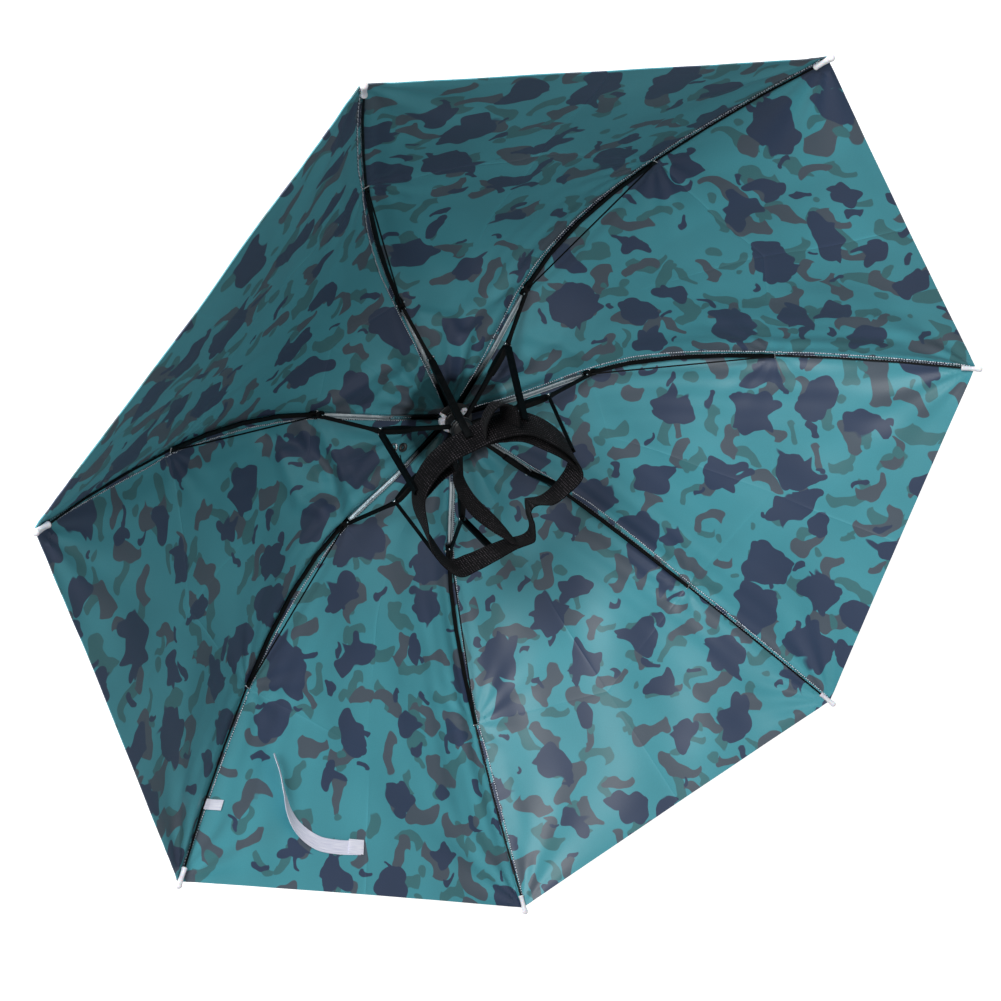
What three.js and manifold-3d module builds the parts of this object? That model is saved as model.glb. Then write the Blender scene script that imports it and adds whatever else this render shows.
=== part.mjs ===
// An umbrella hat: a seven-rib folding canopy that is worn on a head band, lying on its crown cap with the
// opening up. Millimetres, +Z up, the origin at the centre of the crown cap's flat face. Rib 1 points to -Y and
// the ribs are numbered clockwise as seen from above.
import * as THREE from "three";
import Module from "manifold-3d";

const wasm = await Module();
wasm.setup();

// Canopy
const RIB_COUNT = 7;
const rimRadius = 470; // hub axis to the point where a seam meets the hem
const domeDepth = 250; // cloth at the hub to the tips of the seams
const clothThickness = 1;
const hemHollow = 0.5; // how far the hem is drawn in between two ribs
const gap = 0.3; // clearance between pieces that touch
const seamGap = 0.3; // between two panels, under the seam

// Crown cap, notch and runner
const capRadius = 18;
const capHeight = 11.2;
const capBevel = 2;
const neckRadius = 8;
const notchRadius = 15;
const notchHeight = 7;
const postRadius = 4;
const runnerRadius = 12;
const runnerHeight = 24;
const runnerRoof = 3;
const runnerLip = 1.2;
const edgeBevel = 1; // of the notch and the runner

// Ribs
const innerJointRadius = 157; // the rivet between inner and middle rib
const outerJointRadius = 329; // the rivet between middle and outer rib
const innerRibWidth = 5;
const innerRibHeight = 3;
const channelWall = 0.6;
const wireRadius = 1; // outer rib
const wireNest = 12; // length of the outer rib inside the middle rib's channel
const bracketLap = 8; // the middle rib's bracket reaches this far over the inner rib
const bracketTail = 6; // and this far past the rivet
const bracketTaper = 3; // from the bracket's width down to the channel's
const tipRadius = 2.9;
const tipLength = 15;
const tipBore = 8;
const tipInset = 9; // how far the cap's mouth lies inside the hem

// Levers, control wires and legs
const knuckleRadius = 100; // hub axis to the knuckle that carries a leg
const knuckleHeight = 51.5;
const knuckleRise = 8.5; // the runner sits a little askew, so the knuckles rise towards +X
const knuckleSize = 3.2;
const leverWidth = 5.5;
const leverHeight = 3;
const linkWidth = 3.2;
const controlWireRadius = 0.8;
const legWidth = 6.5;
const legDepth = 3.6;

// Head band
const bandRadius = 82;
const bandHeight = 141; // middle of the webbing above the floor
const bandWidth = 30;
const bandThickness = 1.6;

// Closing strap
const strapWidth = 14;
const strapThickness = 1;

// The seam from hub to tip: reach is a share of rimRadius, rise a share of domeDepth.
const SEAM = [
  { reach: 0, rise: 0 },
  { reach: 0.065, rise: 0.013 },
  { reach: 0.15, rise: 0.041 },
  { reach: 0.23, rise: 0.049 },
  { reach: 0.33, rise: 0.055 },
  { reach: 0.43, rise: 0.098 },
  { reach: 0.54, rise: 0.2 },
  { reach: 0.65, rise: 0.349 },
  { reach: 0.75, rise: 0.515 },
  { reach: 0.87, rise: 0.74 },
  { reach: 1, rise: 1 },
];

// The head band's loop, seen from above and counter-clockwise. x and y are shares of bandRadius, lift and lean
// are shares of bandWidth: lift moves the webbing up, lean carries its upper edge outwards.
const BAND = [
  { x: 1.06, y: 0.74, lift: 0.23, lean: 0.1 },
  { x: 0.83, y: 0.84, lift: 0.2, lean: 0 },
  { x: 0.58, y: 0.89, lift: 0.17, lean: -0.08 },
  { x: 0.3, y: 0.96, lift: 0.08, lean: -0.2 },
  { x: 0.02, y: 1.05, lift: 0.02, lean: -0.3 },
  { x: -0.07, y: 0.83, lift: -0.05, lean: -0.15 },
  { x: -0.14, y: 0.62, lift: -0.1, lean: -0.3 },
  { x: -0.37, y: 0.75, lift: -0.17, lean: -0.2 },
  { x: -0.62, y: 0.73, lift: -0.23, lean: -0.1 },
  { x: -0.86, y: 0.6, lift: -0.27, lean: 0.05 },
  { x: -0.88, y: 0.27, lift: -0.3, lean: -0.3 },
  { x: -0.73, y: -0.11, lift: -0.27, lean: -0.45 },
  { x: -0.49, y: -0.44, lift: -0.2, lean: -0.4 },
  { x: -0.14, y: -0.64, lift: -0.07, lean: -0.3 },
  { x: 0.2, y: -0.72, lift: 0.07, lean: -0.2 },
  { x: 0.5, y: -0.75, lift: 0.13, lean: -0.1 },
  { x: 0.78, y: -0.69, lift: 0.2, lean: -0.05 },
  { x: 1.01, y: -0.52, lift: 0.27, lean: 0 },
  { x: 1.13, y: -0.19, lift: 0.3, lean: -0.05 },
  { x: 1.16, y: 0.26, lift: 0.3, lean: 0.3 },
];
// Where each leg is sewn to the band, in rows of BAND, leg 1 first.
const LEG_SEATS = [14, 12, 9.8, 8, 2.3, 19.4, 17];

// The band's loose tail, from its seat inside the loop to the other side, in the same shares. Its first and last
// point lie in the band at TAIL_SEATS, in rows of BAND.
const TAIL_SEATS = { start: 17.15, end: 3.3 };
const TAIL = [
  { x: 0.68, y: -0.53, lift: 0.05, lean: 0 },
  { x: 0.5, y: -0.53, lift: 0, lean: 0.4 },
  { x: 0.51, y: -0.34, lift: -0.05, lean: 0.9 },
  { x: 0.52, y: -0.07, lift: -0.1, lean: 0.95 },
  { x: 0.48, y: 0.23, lift: -0.1, lean: 0.9 },
  { x: 0.37, y: 0.56, lift: -0.05, lean: 0.65 },
];

// The closing strap on the panel between ribs 5 and 6: reach is a share of rimRadius, across a share of the
// panel's half width towards rib 6, lift how far the strap stands off the cloth as a share of its width.
const STRAP_PANEL = 5;
const STRAP = [
  { reach: 0.94, across: 0.02, lift: 0.03 },
  { reach: 0.932, across: 0.2, lift: 0.08 },
  { reach: 0.917, across: 0.37, lift: 0.15 },
  { reach: 0.889, across: 0.49, lift: 0.12 },
  { reach: 0.845, across: 0.56, lift: 0.2 },
  { reach: 0.8, across: 0.67, lift: 0.55 },
];

// Places that follow from the sizes
const halfPanel = Math.PI / RIB_COUNT;
const hubZ = capHeight + gap + clothThickness / 2;
const holeRadius = (neckRadius + gap) / Math.cos(halfPanel);
const ribBase = clothThickness / 2 + gap;
const wireAxis = ribBase + wireRadius;
const tipAxis = ribBase + tipRadius;
const channelHalf = wireRadius + gap;
const channelRoof = wireAxis + wireRadius + gap;
const bracketHalf = innerRibWidth / 2 + gap;
const innerRibTop = ribBase + innerRibHeight;
const bracketRoof = innerRibTop + gap;
const STATIONS = [
  ...shares(holeRadius, innerJointRadius, 4),
  ...shares(innerJointRadius, outerJointRadius, 4),
  ...shares(outerJointRadius, rimRadius, 3),
  rimRadius,
];
const notchBottom = seamZ(notchRadius) + clothThickness / 2 + gap;
const runnerBottom = notchBottom + notchHeight + gap;
const leverRootZ = runnerBottom + runnerHeight * 0.7;

// Colours as the photo shows them
const finishes = {
  canopy: { color: 0x4d8a8e, roughness: 0.75, metalness: 0 },
  steel: { color: 0xb9bfc2, roughness: 0.35, metalness: 1 },
  blackSteel: { color: 0x17191b, roughness: 0.45, metalness: 0.6 },
  whitePlastic: { color: 0xe9e9e6, roughness: 0.4, metalness: 0 },
  blackPlastic: { color: 0x151617, roughness: 0.5, metalness: 0 },
  webbing: { color: 0x1d1c20, roughness: 0.9, metalness: 0 },
  ribbon: { color: 0xd8d8ea, roughness: 0.55, metalness: 0 },
};

// count radii from start towards end, leaving out end itself
function shares(start, end, count) {
  return Array.from({ length: count }, (_, k) => start + ((end - start) * k) / count);
}

// A smooth curve through a table's rows at one key: cubic pieces whose slope at a row is the mean of its sides.
function smooth(rows, key, value, x) {
  const slope = (a, b) => (rows[b][value] - rows[a][value]) / (rows[b][key] - rows[a][key]);
  const last = rows.length - 1;
  let k = rows.findIndex((row, n) => n > 0 && x <= row[key]);
  k = (k < 1 ? last : k) - 1;
  const before = slope(Math.max(k - 1, 0), Math.max(k, 1));
  const here = slope(k, k + 1);
  const after = slope(Math.min(k + 1, last - 1), Math.min(k + 2, last));
  const width = rows[k + 1][key] - rows[k][key];
  const t = (x - rows[k][key]) / width;
  const m0 = k === 0 ? here : (before + here) / 2;
  const m1 = k + 1 === last ? here : (here + after) / 2;
  return (
    rows[k][value] * (1 + 2 * t) * (1 - t) ** 2 +
    m0 * width * t * (1 - t) ** 2 +
    rows[k + 1][value] * t * t * (3 - 2 * t) -
    m1 * width * t * t * (1 - t)
  );
}

// Height of the seam's cloth at a radius. Between two stations it is straight, so ribs and cloth bend together.
function seamZ(radius) {
  const k = segment(radius);
  const curve = (r) => hubZ + domeDepth * smooth(SEAM, "reach", "rise", r / rimRadius);
  const t = (radius - STATIONS[k]) / (STATIONS[k + 1] - STATIONS[k]);
  return curve(STATIONS[k]) * (1 - t) + curve(STATIONS[k + 1]) * t;
}

function segment(radius) {
  const k = STATIONS.findLastIndex((station) => station <= radius);
  return Math.min(Math.max(k, 0), STATIONS.length - 2);
}

function seamSlope(radius) {
  const slope = (k) => (seamZ(STATIONS[k + 1]) - seamZ(STATIONS[k])) / (STATIONS[k + 1] - STATIONS[k]);
  const k = segment(radius);
  const onStation = Math.abs(radius - STATIONS[k]) < 1e-6 && k > 0;
  return onStation ? (slope(k - 1) + slope(k)) / 2 : slope(k);
}

// The radii from start to end at which a rib bends, with both ends and the extra ones.
function radiiBetween(start, end, extra = []) {
  const inside = [...STATIONS, ...extra].filter((r) => r > start + 0.5 && r < end - 0.5);
  return [start, ...inside.sort((a, b) => a - b), end];
}

// Frames along a rib, in the rib's own plane: +X out, +Y across, up is away from the cloth.
function ribFrames(radii) {
  return radii.map((r) => {
    const slope = seamSlope(r);
    const up = new THREE.Vector3(-slope, 0, 1).normalize();
    return { radius: r, at: new THREE.Vector3(r, 0, seamZ(r)), side: new THREE.Vector3(0, 1, 0), up };
  });
}

// Under a rib the two panels meet in a valley, so a wide rib sits higher than a narrow one to clear its sides.
function seatHeight(radius, halfWidth) {
  const slope = Math.max(seamSlope(radius - 0.01), seamSlope(radius + 0.01));
  return ribBase + (halfWidth * slope * Math.tan(halfPanel)) / Math.hypot(1, slope);
}

function ribAngle(rib) {
  return -Math.PI / 2 - (2 * Math.PI * (rib - 1)) / RIB_COUNT;
}

// A closed mesh from points and triangles, turned so that its faces point out.
function closedGeometry(points, faces) {
  const volume = faces.reduce((sum, [a, b, c]) => {
    const cross = new THREE.Vector3().crossVectors(points[b], points[c]);
    return sum + points[a].dot(cross);
  }, 0);
  const corners = faces.flatMap(([a, b, c]) => (volume < 0 ? [a, c, b] : [a, b, c]));
  const geometry = new THREE.BufferGeometry();
  geometry.setAttribute(
    "position",
    new THREE.Float32BufferAttribute(corners.flatMap((n) => points[n].toArray()), 3),
  );
  geometry.computeVertexNormals();
  return geometry;
}

// Carries a section along frames. sections holds one outline of [across, up] pairs for each frame.
function sweep(frames, sections, closed = false) {
  const size = sections[0].length;
  const points = frames.flatMap((frame, k) =>
    sections[k].map(([a, b]) => frame.at.clone().addScaledVector(frame.side, a).addScaledVector(frame.up, b)),
  );
  const faces = [];
  const spans = closed ? frames.length : frames.length - 1;
  for (let k = 0; k < spans; k++) {
    const here = k * size;
    const next = ((k + 1) % frames.length) * size;
    for (let j = 0; j < size; j++) {
      const j1 = (j + 1) % size;
      faces.push([here + j, here + j1, next + j1], [here + j, next + j1, next + j]);
    }
  }
  if (!closed) {
    const end = (frames.length - 1) * size;
    for (const [a, b, c] of capTriangles(sections[0])) {
      faces.push([c, b, a]);
    }
    for (const [a, b, c] of capTriangles(sections[sections.length - 1])) {
      faces.push([end + a, end + b, end + c]);
    }
  }
  return closedGeometry(points, faces);
}

function capTriangles(section) {
  const outline = section.map(([a, b]) => new THREE.Vector2(a, b));
  return THREE.ShapeUtils.triangulateShape(outline, []).map(([a, b, c]) => {
    const turn = THREE.ShapeUtils.area([outline[a], outline[b], outline[c]]);
    return turn < 0 ? [c, b, a] : [a, b, c];
  });
}

// Sections: a bar, a round rod, a channel open to the cloth, and a channel open away from it
function bar(width, low, high) {
  return [[-width / 2, low], [width / 2, low], [width / 2, high], [-width / 2, high]];
}

function rod(radius, sides, centre = 0) {
  return Array.from({ length: sides }, (_, k) => {
    const turn = (2 * Math.PI * (k + 0.5)) / sides;
    return [radius * Math.cos(turn), centre + radius * Math.sin(turn)];
  });
}

function channelToCloth(inside, low, roof) {
  const out = inside + channelWall;
  const top = roof + channelWall;
  return [
    [-out, low], [-inside, low], [-inside, roof], [inside, roof],
    [inside, low], [out, low], [out, top], [-out, top],
  ];
}

function channelOffCloth(width, low, high) {
  const out = width / 2;
  const inside = out - channelWall;
  const floor = low + channelWall;
  return [
    [-out, low], [out, low], [out, high], [inside, high],
    [inside, floor], [-inside, floor], [-inside, high], [-out, high],
  ];
}

const repeat = (frames, section) => frames.map(() => section);

// A point of a panel in its own frame, +X along its middle: the cloth between two seams is drawn straight across.
function panelPoint(radius, across, height) {
  const halfWidth = radius * Math.sin(halfPanel) - seamGap / 2 / Math.cos(halfPanel);
  const at = new THREE.Vector3(radius * Math.cos(halfPanel), across * halfWidth, seamZ(radius));
  const turn = Math.atan2(at.y, at.x);
  const slope = seamSlope(radius);
  const up = new THREE.Vector3(-slope * Math.cos(turn), -slope * Math.sin(turn), 1).normalize();
  return at.addScaledVector(up, height);
}

function canopyPanel() {
  const columns = 6;
  const points = [];
  for (const side of [-1, 1]) {
    for (const radius of STATIONS) {
      for (let c = 0; c <= columns; c++) {
        const across = (2 * c) / columns - 1;
        const drawnIn = radius === rimRadius ? hemHollow * (1 - across ** 2) : 0;
        const height = (side * clothThickness) / 2;
        const point = panelPoint(radius, across, height);
        points.push(drawnIn ? point.lerp(panelPoint(STATIONS.at(-2), across, height), drawnShare(drawnIn)) : point);
      }
    }
  }
  const rows = STATIONS.length;
  const layer = rows * (columns + 1);
  const id = (side, row, column) => side * layer + row * (columns + 1) + column;
  const faces = [];
  const quad = (a, b, c, d) => faces.push([a, b, c], [a, c, d]);
  for (let r = 0; r < rows - 1; r++) {
    for (let c = 0; c < columns; c++) {
      quad(id(1, r, c), id(1, r + 1, c), id(1, r + 1, c + 1), id(1, r, c + 1));
      quad(id(0, r, c), id(0, r, c + 1), id(0, r + 1, c + 1), id(0, r + 1, c));
    }
    quad(id(0, r, 0), id(0, r + 1, 0), id(1, r + 1, 0), id(1, r, 0));
    quad(id(0, r + 1, columns), id(0, r, columns), id(1, r, columns), id(1, r + 1, columns));
  }
  for (let c = 0; c < columns; c++) {
    quad(id(0, 0, c + 1), id(0, 0, c), id(1, 0, c), id(1, 0, c + 1));
    quad(id(0, rows - 1, c), id(0, rows - 1, c + 1), id(1, rows - 1, c + 1), id(1, rows - 1, c));
  }
  return closedGeometry(points, faces);
}

// How much of the outermost strip of cloth a drawn-in distance takes
function drawnShare(distance) {
  return distance / (rimRadius - STATIONS.at(-2));
}

// The inner rib starts square to the cloth, so its upper edge leans back to a gap from the notch.
function innerRib() {
  const setBack = innerRibTop * seamSlope(notchRadius);
  const frames = ribFrames(radiiBetween(notchRadius + gap + setBack, innerJointRadius));
  const low = ({ radius }) => seatHeight(radius, innerRibWidth / 2);
  return sweep(frames, frames.map((frame) => channelOffCloth(innerRibWidth, low(frame), innerRibTop)));
}

// The middle rib starts as a bracket over the inner rib's end and goes on as a channel.
function middleRib() {
  const bracketEnd = innerJointRadius + bracketTail;
  const channelStart = bracketEnd + bracketTaper;
  const radii = radiiBetween(innerJointRadius - bracketLap, outerJointRadius, [bracketEnd, channelStart]);
  const frames = ribFrames(radii);
  const section = (r, half, roof) => channelToCloth(half, seatHeight(r, half + channelWall), roof);
  return sweep(
    frames,
    radii.map((r) => (r <= bracketEnd ? section(r, bracketHalf, bracketRoof) : section(r, channelHalf, channelRoof))),
  );
}

function outerRib() {
  const frames = ribFrames(radiiBetween(outerJointRadius - wireNest, rimRadius - tipInset));
  const end = frames.pop();
  const along = new THREE.Vector3().crossVectors(end.side, end.up);
  const raised = end.at.clone().addScaledVector(end.up, tipAxis - wireAxis);
  frames.push({ ...end, at: raised }, { ...end, at: raised.clone().addScaledVector(along, tipBore) });
  return sweep(frames, repeat(frames, rod(wireRadius, 6, wireAxis)));
}

// The cap on a rib's end, bored for the wire, which lies on the cloth's corner
function ribTip() {
  const bore = wireRadius + gap;
  const ball = 4;
  const profile = [
    [0, tipBore + gap], [bore, tipBore + gap], [bore, 0], [tipRadius * 0.8, 0], [tipRadius, tipRadius / 2],
  ];
  for (let k = 0; k <= ball; k++) {
    const turn = (k / ball) * (Math.PI / 2);
    profile.push([tipRadius * Math.cos(turn), tipLength - tipRadius + tipRadius * Math.sin(turn)]);
  }
  const geometry = new THREE.LatheGeometry(profile.map(([x, y]) => new THREE.Vector2(Math.abs(x), y)), 10);
  const [end] = ribFrames([rimRadius - tipInset]);
  const along = new THREE.Vector3().crossVectors(end.side, end.up);
  const mouth = end.at.clone().addScaledVector(end.up, tipAxis).addScaledVector(along, gap);
  geometry.applyQuaternion(new THREE.Quaternion().setFromUnitVectors(new THREE.Vector3(0, 1, 0), along));
  geometry.translate(mouth.x, mouth.y, mouth.z);
  return geometry;
}

function knuckle(rib) {
  return new THREE.Vector3(knuckleRadius, 0, knuckleHeight + knuckleRise * Math.cos(ribAngle(rib)));
}

// The lever runs from the runner up to the knuckle and, as a thinner link, down on to the inner joint's bracket.
function lever(rib) {
  const root = new THREE.Vector3(runnerRadius + 2 * gap, 0, leverRootZ);
  const joint = knuckle(rib);
  const [seat] = ribFrames([innerJointRadius - bracketLap / 2]);
  const foot = seat.at.clone().addScaledVector(seat.up, bracketRoof + channelWall + gap + leverHeight / 2);
  const stops = [
    { at: root, width: leverWidth * 0.75 },
    { at: root.clone().lerp(joint, 0.35), width: leverWidth * 0.75 },
    { at: root.clone().lerp(joint, 0.7), width: leverWidth },
    { at: joint, width: leverWidth },
    { at: joint.clone().lerp(foot, 0.2), width: linkWidth },
    { at: foot, width: linkWidth },
  ];
  const frames = stops.map(({ at }, k) => {
    const along = (a, b) => stops[b].at.clone().sub(stops[a].at).normalize();
    const before = along(Math.max(k - 1, 0), Math.max(k, 1));
    const after = along(Math.min(k, stops.length - 2), Math.min(k + 1, stops.length - 1));
    const forward = before.add(after).normalize();
    const side = new THREE.Vector3(0, 1, 0);
    return { at, side, up: forward.clone().cross(side) };
  });
  const arm = sweep(frames, stops.map(({ width }) => bar(width, -leverHeight / 2, leverHeight / 2)));
  const eye = new THREE.SphereGeometry(knuckleSize, 8, 6).rotateX(Math.PI / 2).translate(...joint.toArray());
  return join([arm, eye]);
}

// The thin wire that folds the outer rib, straight from the inner joint to the outer one
function controlWire() {
  const stand = gap + controlWireRadius;
  const [inner] = ribFrames([innerJointRadius + bracketTail / 3]);
  const [outer] = ribFrames([outerJointRadius - wireNest / 3]);
  const start = inner.at.clone().addScaledVector(inner.up, bracketRoof + channelWall + stand);
  const end = outer.at.clone().addScaledVector(outer.up, channelRoof + channelWall + stand);
  const forward = end.clone().sub(start).normalize();
  const side = new THREE.Vector3(0, 1, 0);
  const up = forward.clone().cross(side);
  const frames = [start, end].map((at) => ({ at, side, up }));
  return sweep(frames, repeat(frames, rod(controlWireRadius, 6)));
}

// The band's middle line, its way along and its way out at a place counted in rows of BAND
const bandCurve = new THREE.CatmullRomCurve3(
  BAND.map(({ x, y, lift }) => new THREE.Vector3(x * bandRadius, y * bandRadius, bandHeight + lift * bandWidth)),
  true,
  "catmullrom",
  0.5,
);

function bandFrame(row) {
  const t = (((row / BAND.length) % 1) + 1) % 1;
  const at = bandCurve.getPoint(t);
  const way = bandCurve.getTangent(t).setZ(0).normalize();
  const out = new THREE.Vector3(way.y, -way.x, 0);
  const k = Math.floor(t * BAND.length) % BAND.length;
  const lean = THREE.MathUtils.lerp(BAND[k].lean, BAND[(k + 1) % BAND.length].lean, (t * BAND.length) % 1);
  const up = new THREE.Vector3(0, 0, 1).addScaledVector(out, lean).normalize();
  return { at, way, out, up, side: way.clone().cross(up).normalize() };
}

function leg(rib) {
  const seat = bandFrame(LEG_SEATS[rib - 1]);
  const turn = new THREE.Matrix4().makeRotationZ(-ribAngle(rib));
  const foot = seat.at.clone().addScaledVector(seat.out, bandThickness / 2 + gap + legDepth / 2).applyMatrix4(turn);
  const way = seat.way.clone().applyMatrix4(turn);
  const top = knuckle(rib);
  const forward = foot.clone().sub(top).normalize();
  const start = top.clone().addScaledVector(forward, knuckleSize + gap);
  const side = way.clone().addScaledVector(forward, -way.dot(forward)).normalize();
  const up = forward.clone().cross(side);
  const frames = [start, foot].map((at) => ({ at, side, up }));
  return sweep(frames, repeat(frames, channelOffCloth(legWidth, -legDepth / 2, legDepth / 2)));
}

function headBand() {
  const perRow = 4;
  const loop = Array.from({ length: BAND.length * perRow }, (_, k) => bandFrame(k / perRow));
  const webbing = bar(bandThickness, -bandWidth / 2, bandWidth / 2);
  const ring = sweep(loop, repeat(loop, webbing), true);
  const inner = (row) => {
    const { at, out } = bandFrame(row);
    return at.clone().addScaledVector(out, -bandThickness * 0.25);
  };
  const middle = TAIL.map(
    ({ x, y, lift }) => new THREE.Vector3(x * bandRadius, y * bandRadius, bandHeight + lift * bandWidth),
  );
  const curve = new THREE.CatmullRomCurve3([inner(TAIL_SEATS.start), ...middle, inner(TAIL_SEATS.end)]);
  const leans = [0, ...TAIL.map(({ lean }) => lean), 0];
  const steps = 24;
  const frames = Array.from({ length: steps + 1 }, (_, k) => {
    const t = k / steps;
    const at = curve.getPoint(t);
    const way = curve.getTangent(t).setZ(0).normalize();
    const out = new THREE.Vector3(way.y, -way.x, 0);
    const place = t * (leans.length - 1);
    const row = Math.min(Math.floor(place), leans.length - 2);
    const lean = THREE.MathUtils.lerp(leans[row], leans[row + 1], place - row);
    const up = new THREE.Vector3(0, 0, 1).addScaledVector(out, lean).normalize();
    return { at, up, side: way.clone().cross(up).normalize() };
  });
  const tail = sweep(frames, repeat(frames, bar(bandThickness, -bandWidth * 0.36, bandWidth * 0.36)));
  return join([ring, tail]);
}

// The strap lies on its panel, both edges following the cloth.
function closingStrap() {
  const route = new THREE.CatmullRomCurve3(
    STRAP.map(({ reach, across, lift }) => new THREE.Vector3(reach, across, lift)),
  );
  const steps = 15;
  const rest = clothThickness / 2 + gap + strapThickness / 2;
  const centres = Array.from({ length: steps + 1 }, (_, k) => {
    const { x, y, z } = route.getPoint(k / steps);
    return panelPoint(x * rimRadius, -y, rest + Math.max(z, 0) * strapWidth);
  });
  const frames = centres.map((at, k) => {
    const before = centres[Math.max(k - 1, 0)];
    const after = centres[Math.min(k + 1, steps)];
    const way = after.clone().sub(before).normalize();
    const slope = seamSlope(at.x / Math.cos(halfPanel));
    const up = new THREE.Vector3(-slope, 0, 1).normalize();
    const side = up.clone().cross(way).normalize();
    return { at, side, up: way.clone().cross(side) };
  });
  return sweep(frames, repeat(frames, bar(strapWidth, -strapThickness / 2, strapThickness / 2)));
}

// Cap below the cloth, neck through it, notch above it and the post that the runner slides on, in one turning
function crownHub() {
  const notchTop = notchBottom + notchHeight;
  const postTop = runnerBottom + runnerHeight - runnerRoof - gap;
  const profile = [
    [0, 0], [capRadius - capBevel, 0], [capRadius, capBevel], [capRadius, capHeight * 0.6],
    [capRadius * 0.78, capHeight], [neckRadius, capHeight], [neckRadius, notchBottom],
    [notchRadius, notchBottom], [notchRadius, notchTop - edgeBevel], [notchRadius - edgeBevel, notchTop],
    [postRadius, notchTop], [postRadius, postTop], [0, postTop],
  ];
  return turned(profile, 24);
}

function runner() {
  const bore = postRadius + gap;
  const boreTop = runnerBottom + runnerHeight - runnerRoof;
  const top = runnerBottom + runnerHeight;
  const waist = runnerRadius - runnerLip;
  const profile = [
    [0, boreTop], [bore, boreTop], [bore, runnerBottom], [waist, runnerBottom],
    [waist, leverRootZ - leverHeight * 1.4], [runnerRadius, leverRootZ - leverHeight],
    [runnerRadius, leverRootZ + leverHeight], [waist, leverRootZ + leverHeight * 1.4],
    [waist, top - edgeBevel], [waist - edgeBevel, top], [0, top],
  ];
  return turned(profile, 24);
}

// A closed profile of [radius, height] pairs turned about Z
function turned(profile, sides) {
  const points = profile.map(([x, y]) => new THREE.Vector2(x, y));
  return new THREE.LatheGeometry(points, sides).rotateX(Math.PI / 2);
}

function solidOf(geometry) {
  const loose = geometry.index ? geometry.toNonIndexed() : geometry;
  const mesh = new wasm.Mesh({
    numProp: 3,
    vertProperties: new Float32Array(loose.getAttribute("position").array),
    triVerts: new Uint32Array(loose.getAttribute("position").count).map((_, k) => k),
  });
  mesh.merge();
  return new wasm.Manifold(mesh);
}

function join(geometries) {
  const solids = geometries.map(solidOf);
  const mesh = wasm.Manifold.union(solids).getMesh();
  const geometry = new THREE.BufferGeometry();
  const corners = Array.from(mesh.triVerts).flatMap((n) => Array.from(mesh.vertProperties.slice(n * 3, n * 3 + 3)));
  geometry.setAttribute("position", new THREE.Float32BufferAttribute(corners, 3));
  geometry.computeVertexNormals();
  return geometry;
}

function piece(name, geometry, finish) {
  const mesh = new THREE.Mesh(geometry, new THREE.MeshStandardMaterial(finishes[finish]));
  mesh.name = name;
  return mesh;
}

function ribGroup(rib) {
  const group = new THREE.Group();
  group.rotation.z = ribAngle(rib);
  group.add(
    piece(`inner_rib_${rib}`, innerRib(), "steel"),
    piece(`middle_rib_${rib}`, middleRib(), "blackSteel"),
    piece(`outer_rib_${rib}`, outerRib(), "blackSteel"),
    piece(`rib_tip_${rib}`, ribTip(), "whitePlastic"),
    piece(`lever_${rib}`, lever(rib), "blackSteel"),
    piece(`control_wire_${rib}`, controlWire(), "blackSteel"),
    piece(`leg_${rib}`, leg(rib), "blackSteel"),
  );
  return group;
}

function panelGroup(panel) {
  const group = new THREE.Group();
  group.rotation.z = ribAngle(panel) - halfPanel;
  group.add(piece(`canopy_panel_${panel}`, canopyPanel(), "canopy"));
  if (panel === STRAP_PANEL) {
    const strap = piece("closing_strap", closingStrap(), "ribbon");
    group.add(strap);
  }
  return group;
}

const hat = new THREE.Group();
hat.name = "umbrella_hat";
hat.add(
  piece("crown_hub", crownHub(), "whitePlastic"),
  piece("runner", runner(), "blackPlastic"),
  piece("head_band", headBand(), "webbing"),
);
for (let n = 1; n <= RIB_COUNT; n++) {
  hat.add(ribGroup(n), panelGroup(n));
}

export default hat;
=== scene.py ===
"""Umbrella hat lying on its crown cap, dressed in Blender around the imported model.

Metres, +Z up, the origin at the centre of the crown cap's flat face. Rib 1 points to -Y and the ribs are
numbered clockwise as seen from above. Panel n lies between rib n and rib n + 1.
"""

from __future__ import annotations

import logging
import math
from dataclasses import dataclass, field
from enum import Enum

import bpy
import numpy as np
from mathutils import Matrix, Vector


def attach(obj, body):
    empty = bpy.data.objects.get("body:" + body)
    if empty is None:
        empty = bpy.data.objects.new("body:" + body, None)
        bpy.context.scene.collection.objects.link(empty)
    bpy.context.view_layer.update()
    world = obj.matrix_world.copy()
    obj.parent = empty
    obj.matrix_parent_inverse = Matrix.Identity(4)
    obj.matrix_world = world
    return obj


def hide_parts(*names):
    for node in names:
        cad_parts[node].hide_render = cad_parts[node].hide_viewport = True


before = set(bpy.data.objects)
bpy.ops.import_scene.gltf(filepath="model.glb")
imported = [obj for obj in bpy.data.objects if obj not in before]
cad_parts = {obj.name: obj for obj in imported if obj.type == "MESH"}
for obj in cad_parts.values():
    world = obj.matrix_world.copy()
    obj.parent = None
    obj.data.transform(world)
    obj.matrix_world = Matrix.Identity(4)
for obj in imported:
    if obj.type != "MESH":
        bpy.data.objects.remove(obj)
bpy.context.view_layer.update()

LOG = logging.getLogger("umbrella_hat")
MM = 0.001
BODY = "root"
RIB_COUNT = 7
HALF_PANEL = math.pi / RIB_COUNT
GAP = 0.3 * MM


class Slot(Enum):
    """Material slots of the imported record."""

    CANOPY = "canopy"
    STEEL = "steel"
    BLACK_STEEL = "black_steel"
    WHITE_PLASTIC = "white_plastic"
    BLACK_PLASTIC = "black_plastic"
    WEBBING = "webbing"
    RIBBON = "ribbon"


class Held(Enum):
    """How a sheet of cloth is held."""

    STRETCHED = "stretched"
    LAID = "laid"
    HUNG = "hung"


# Meshes


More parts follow.
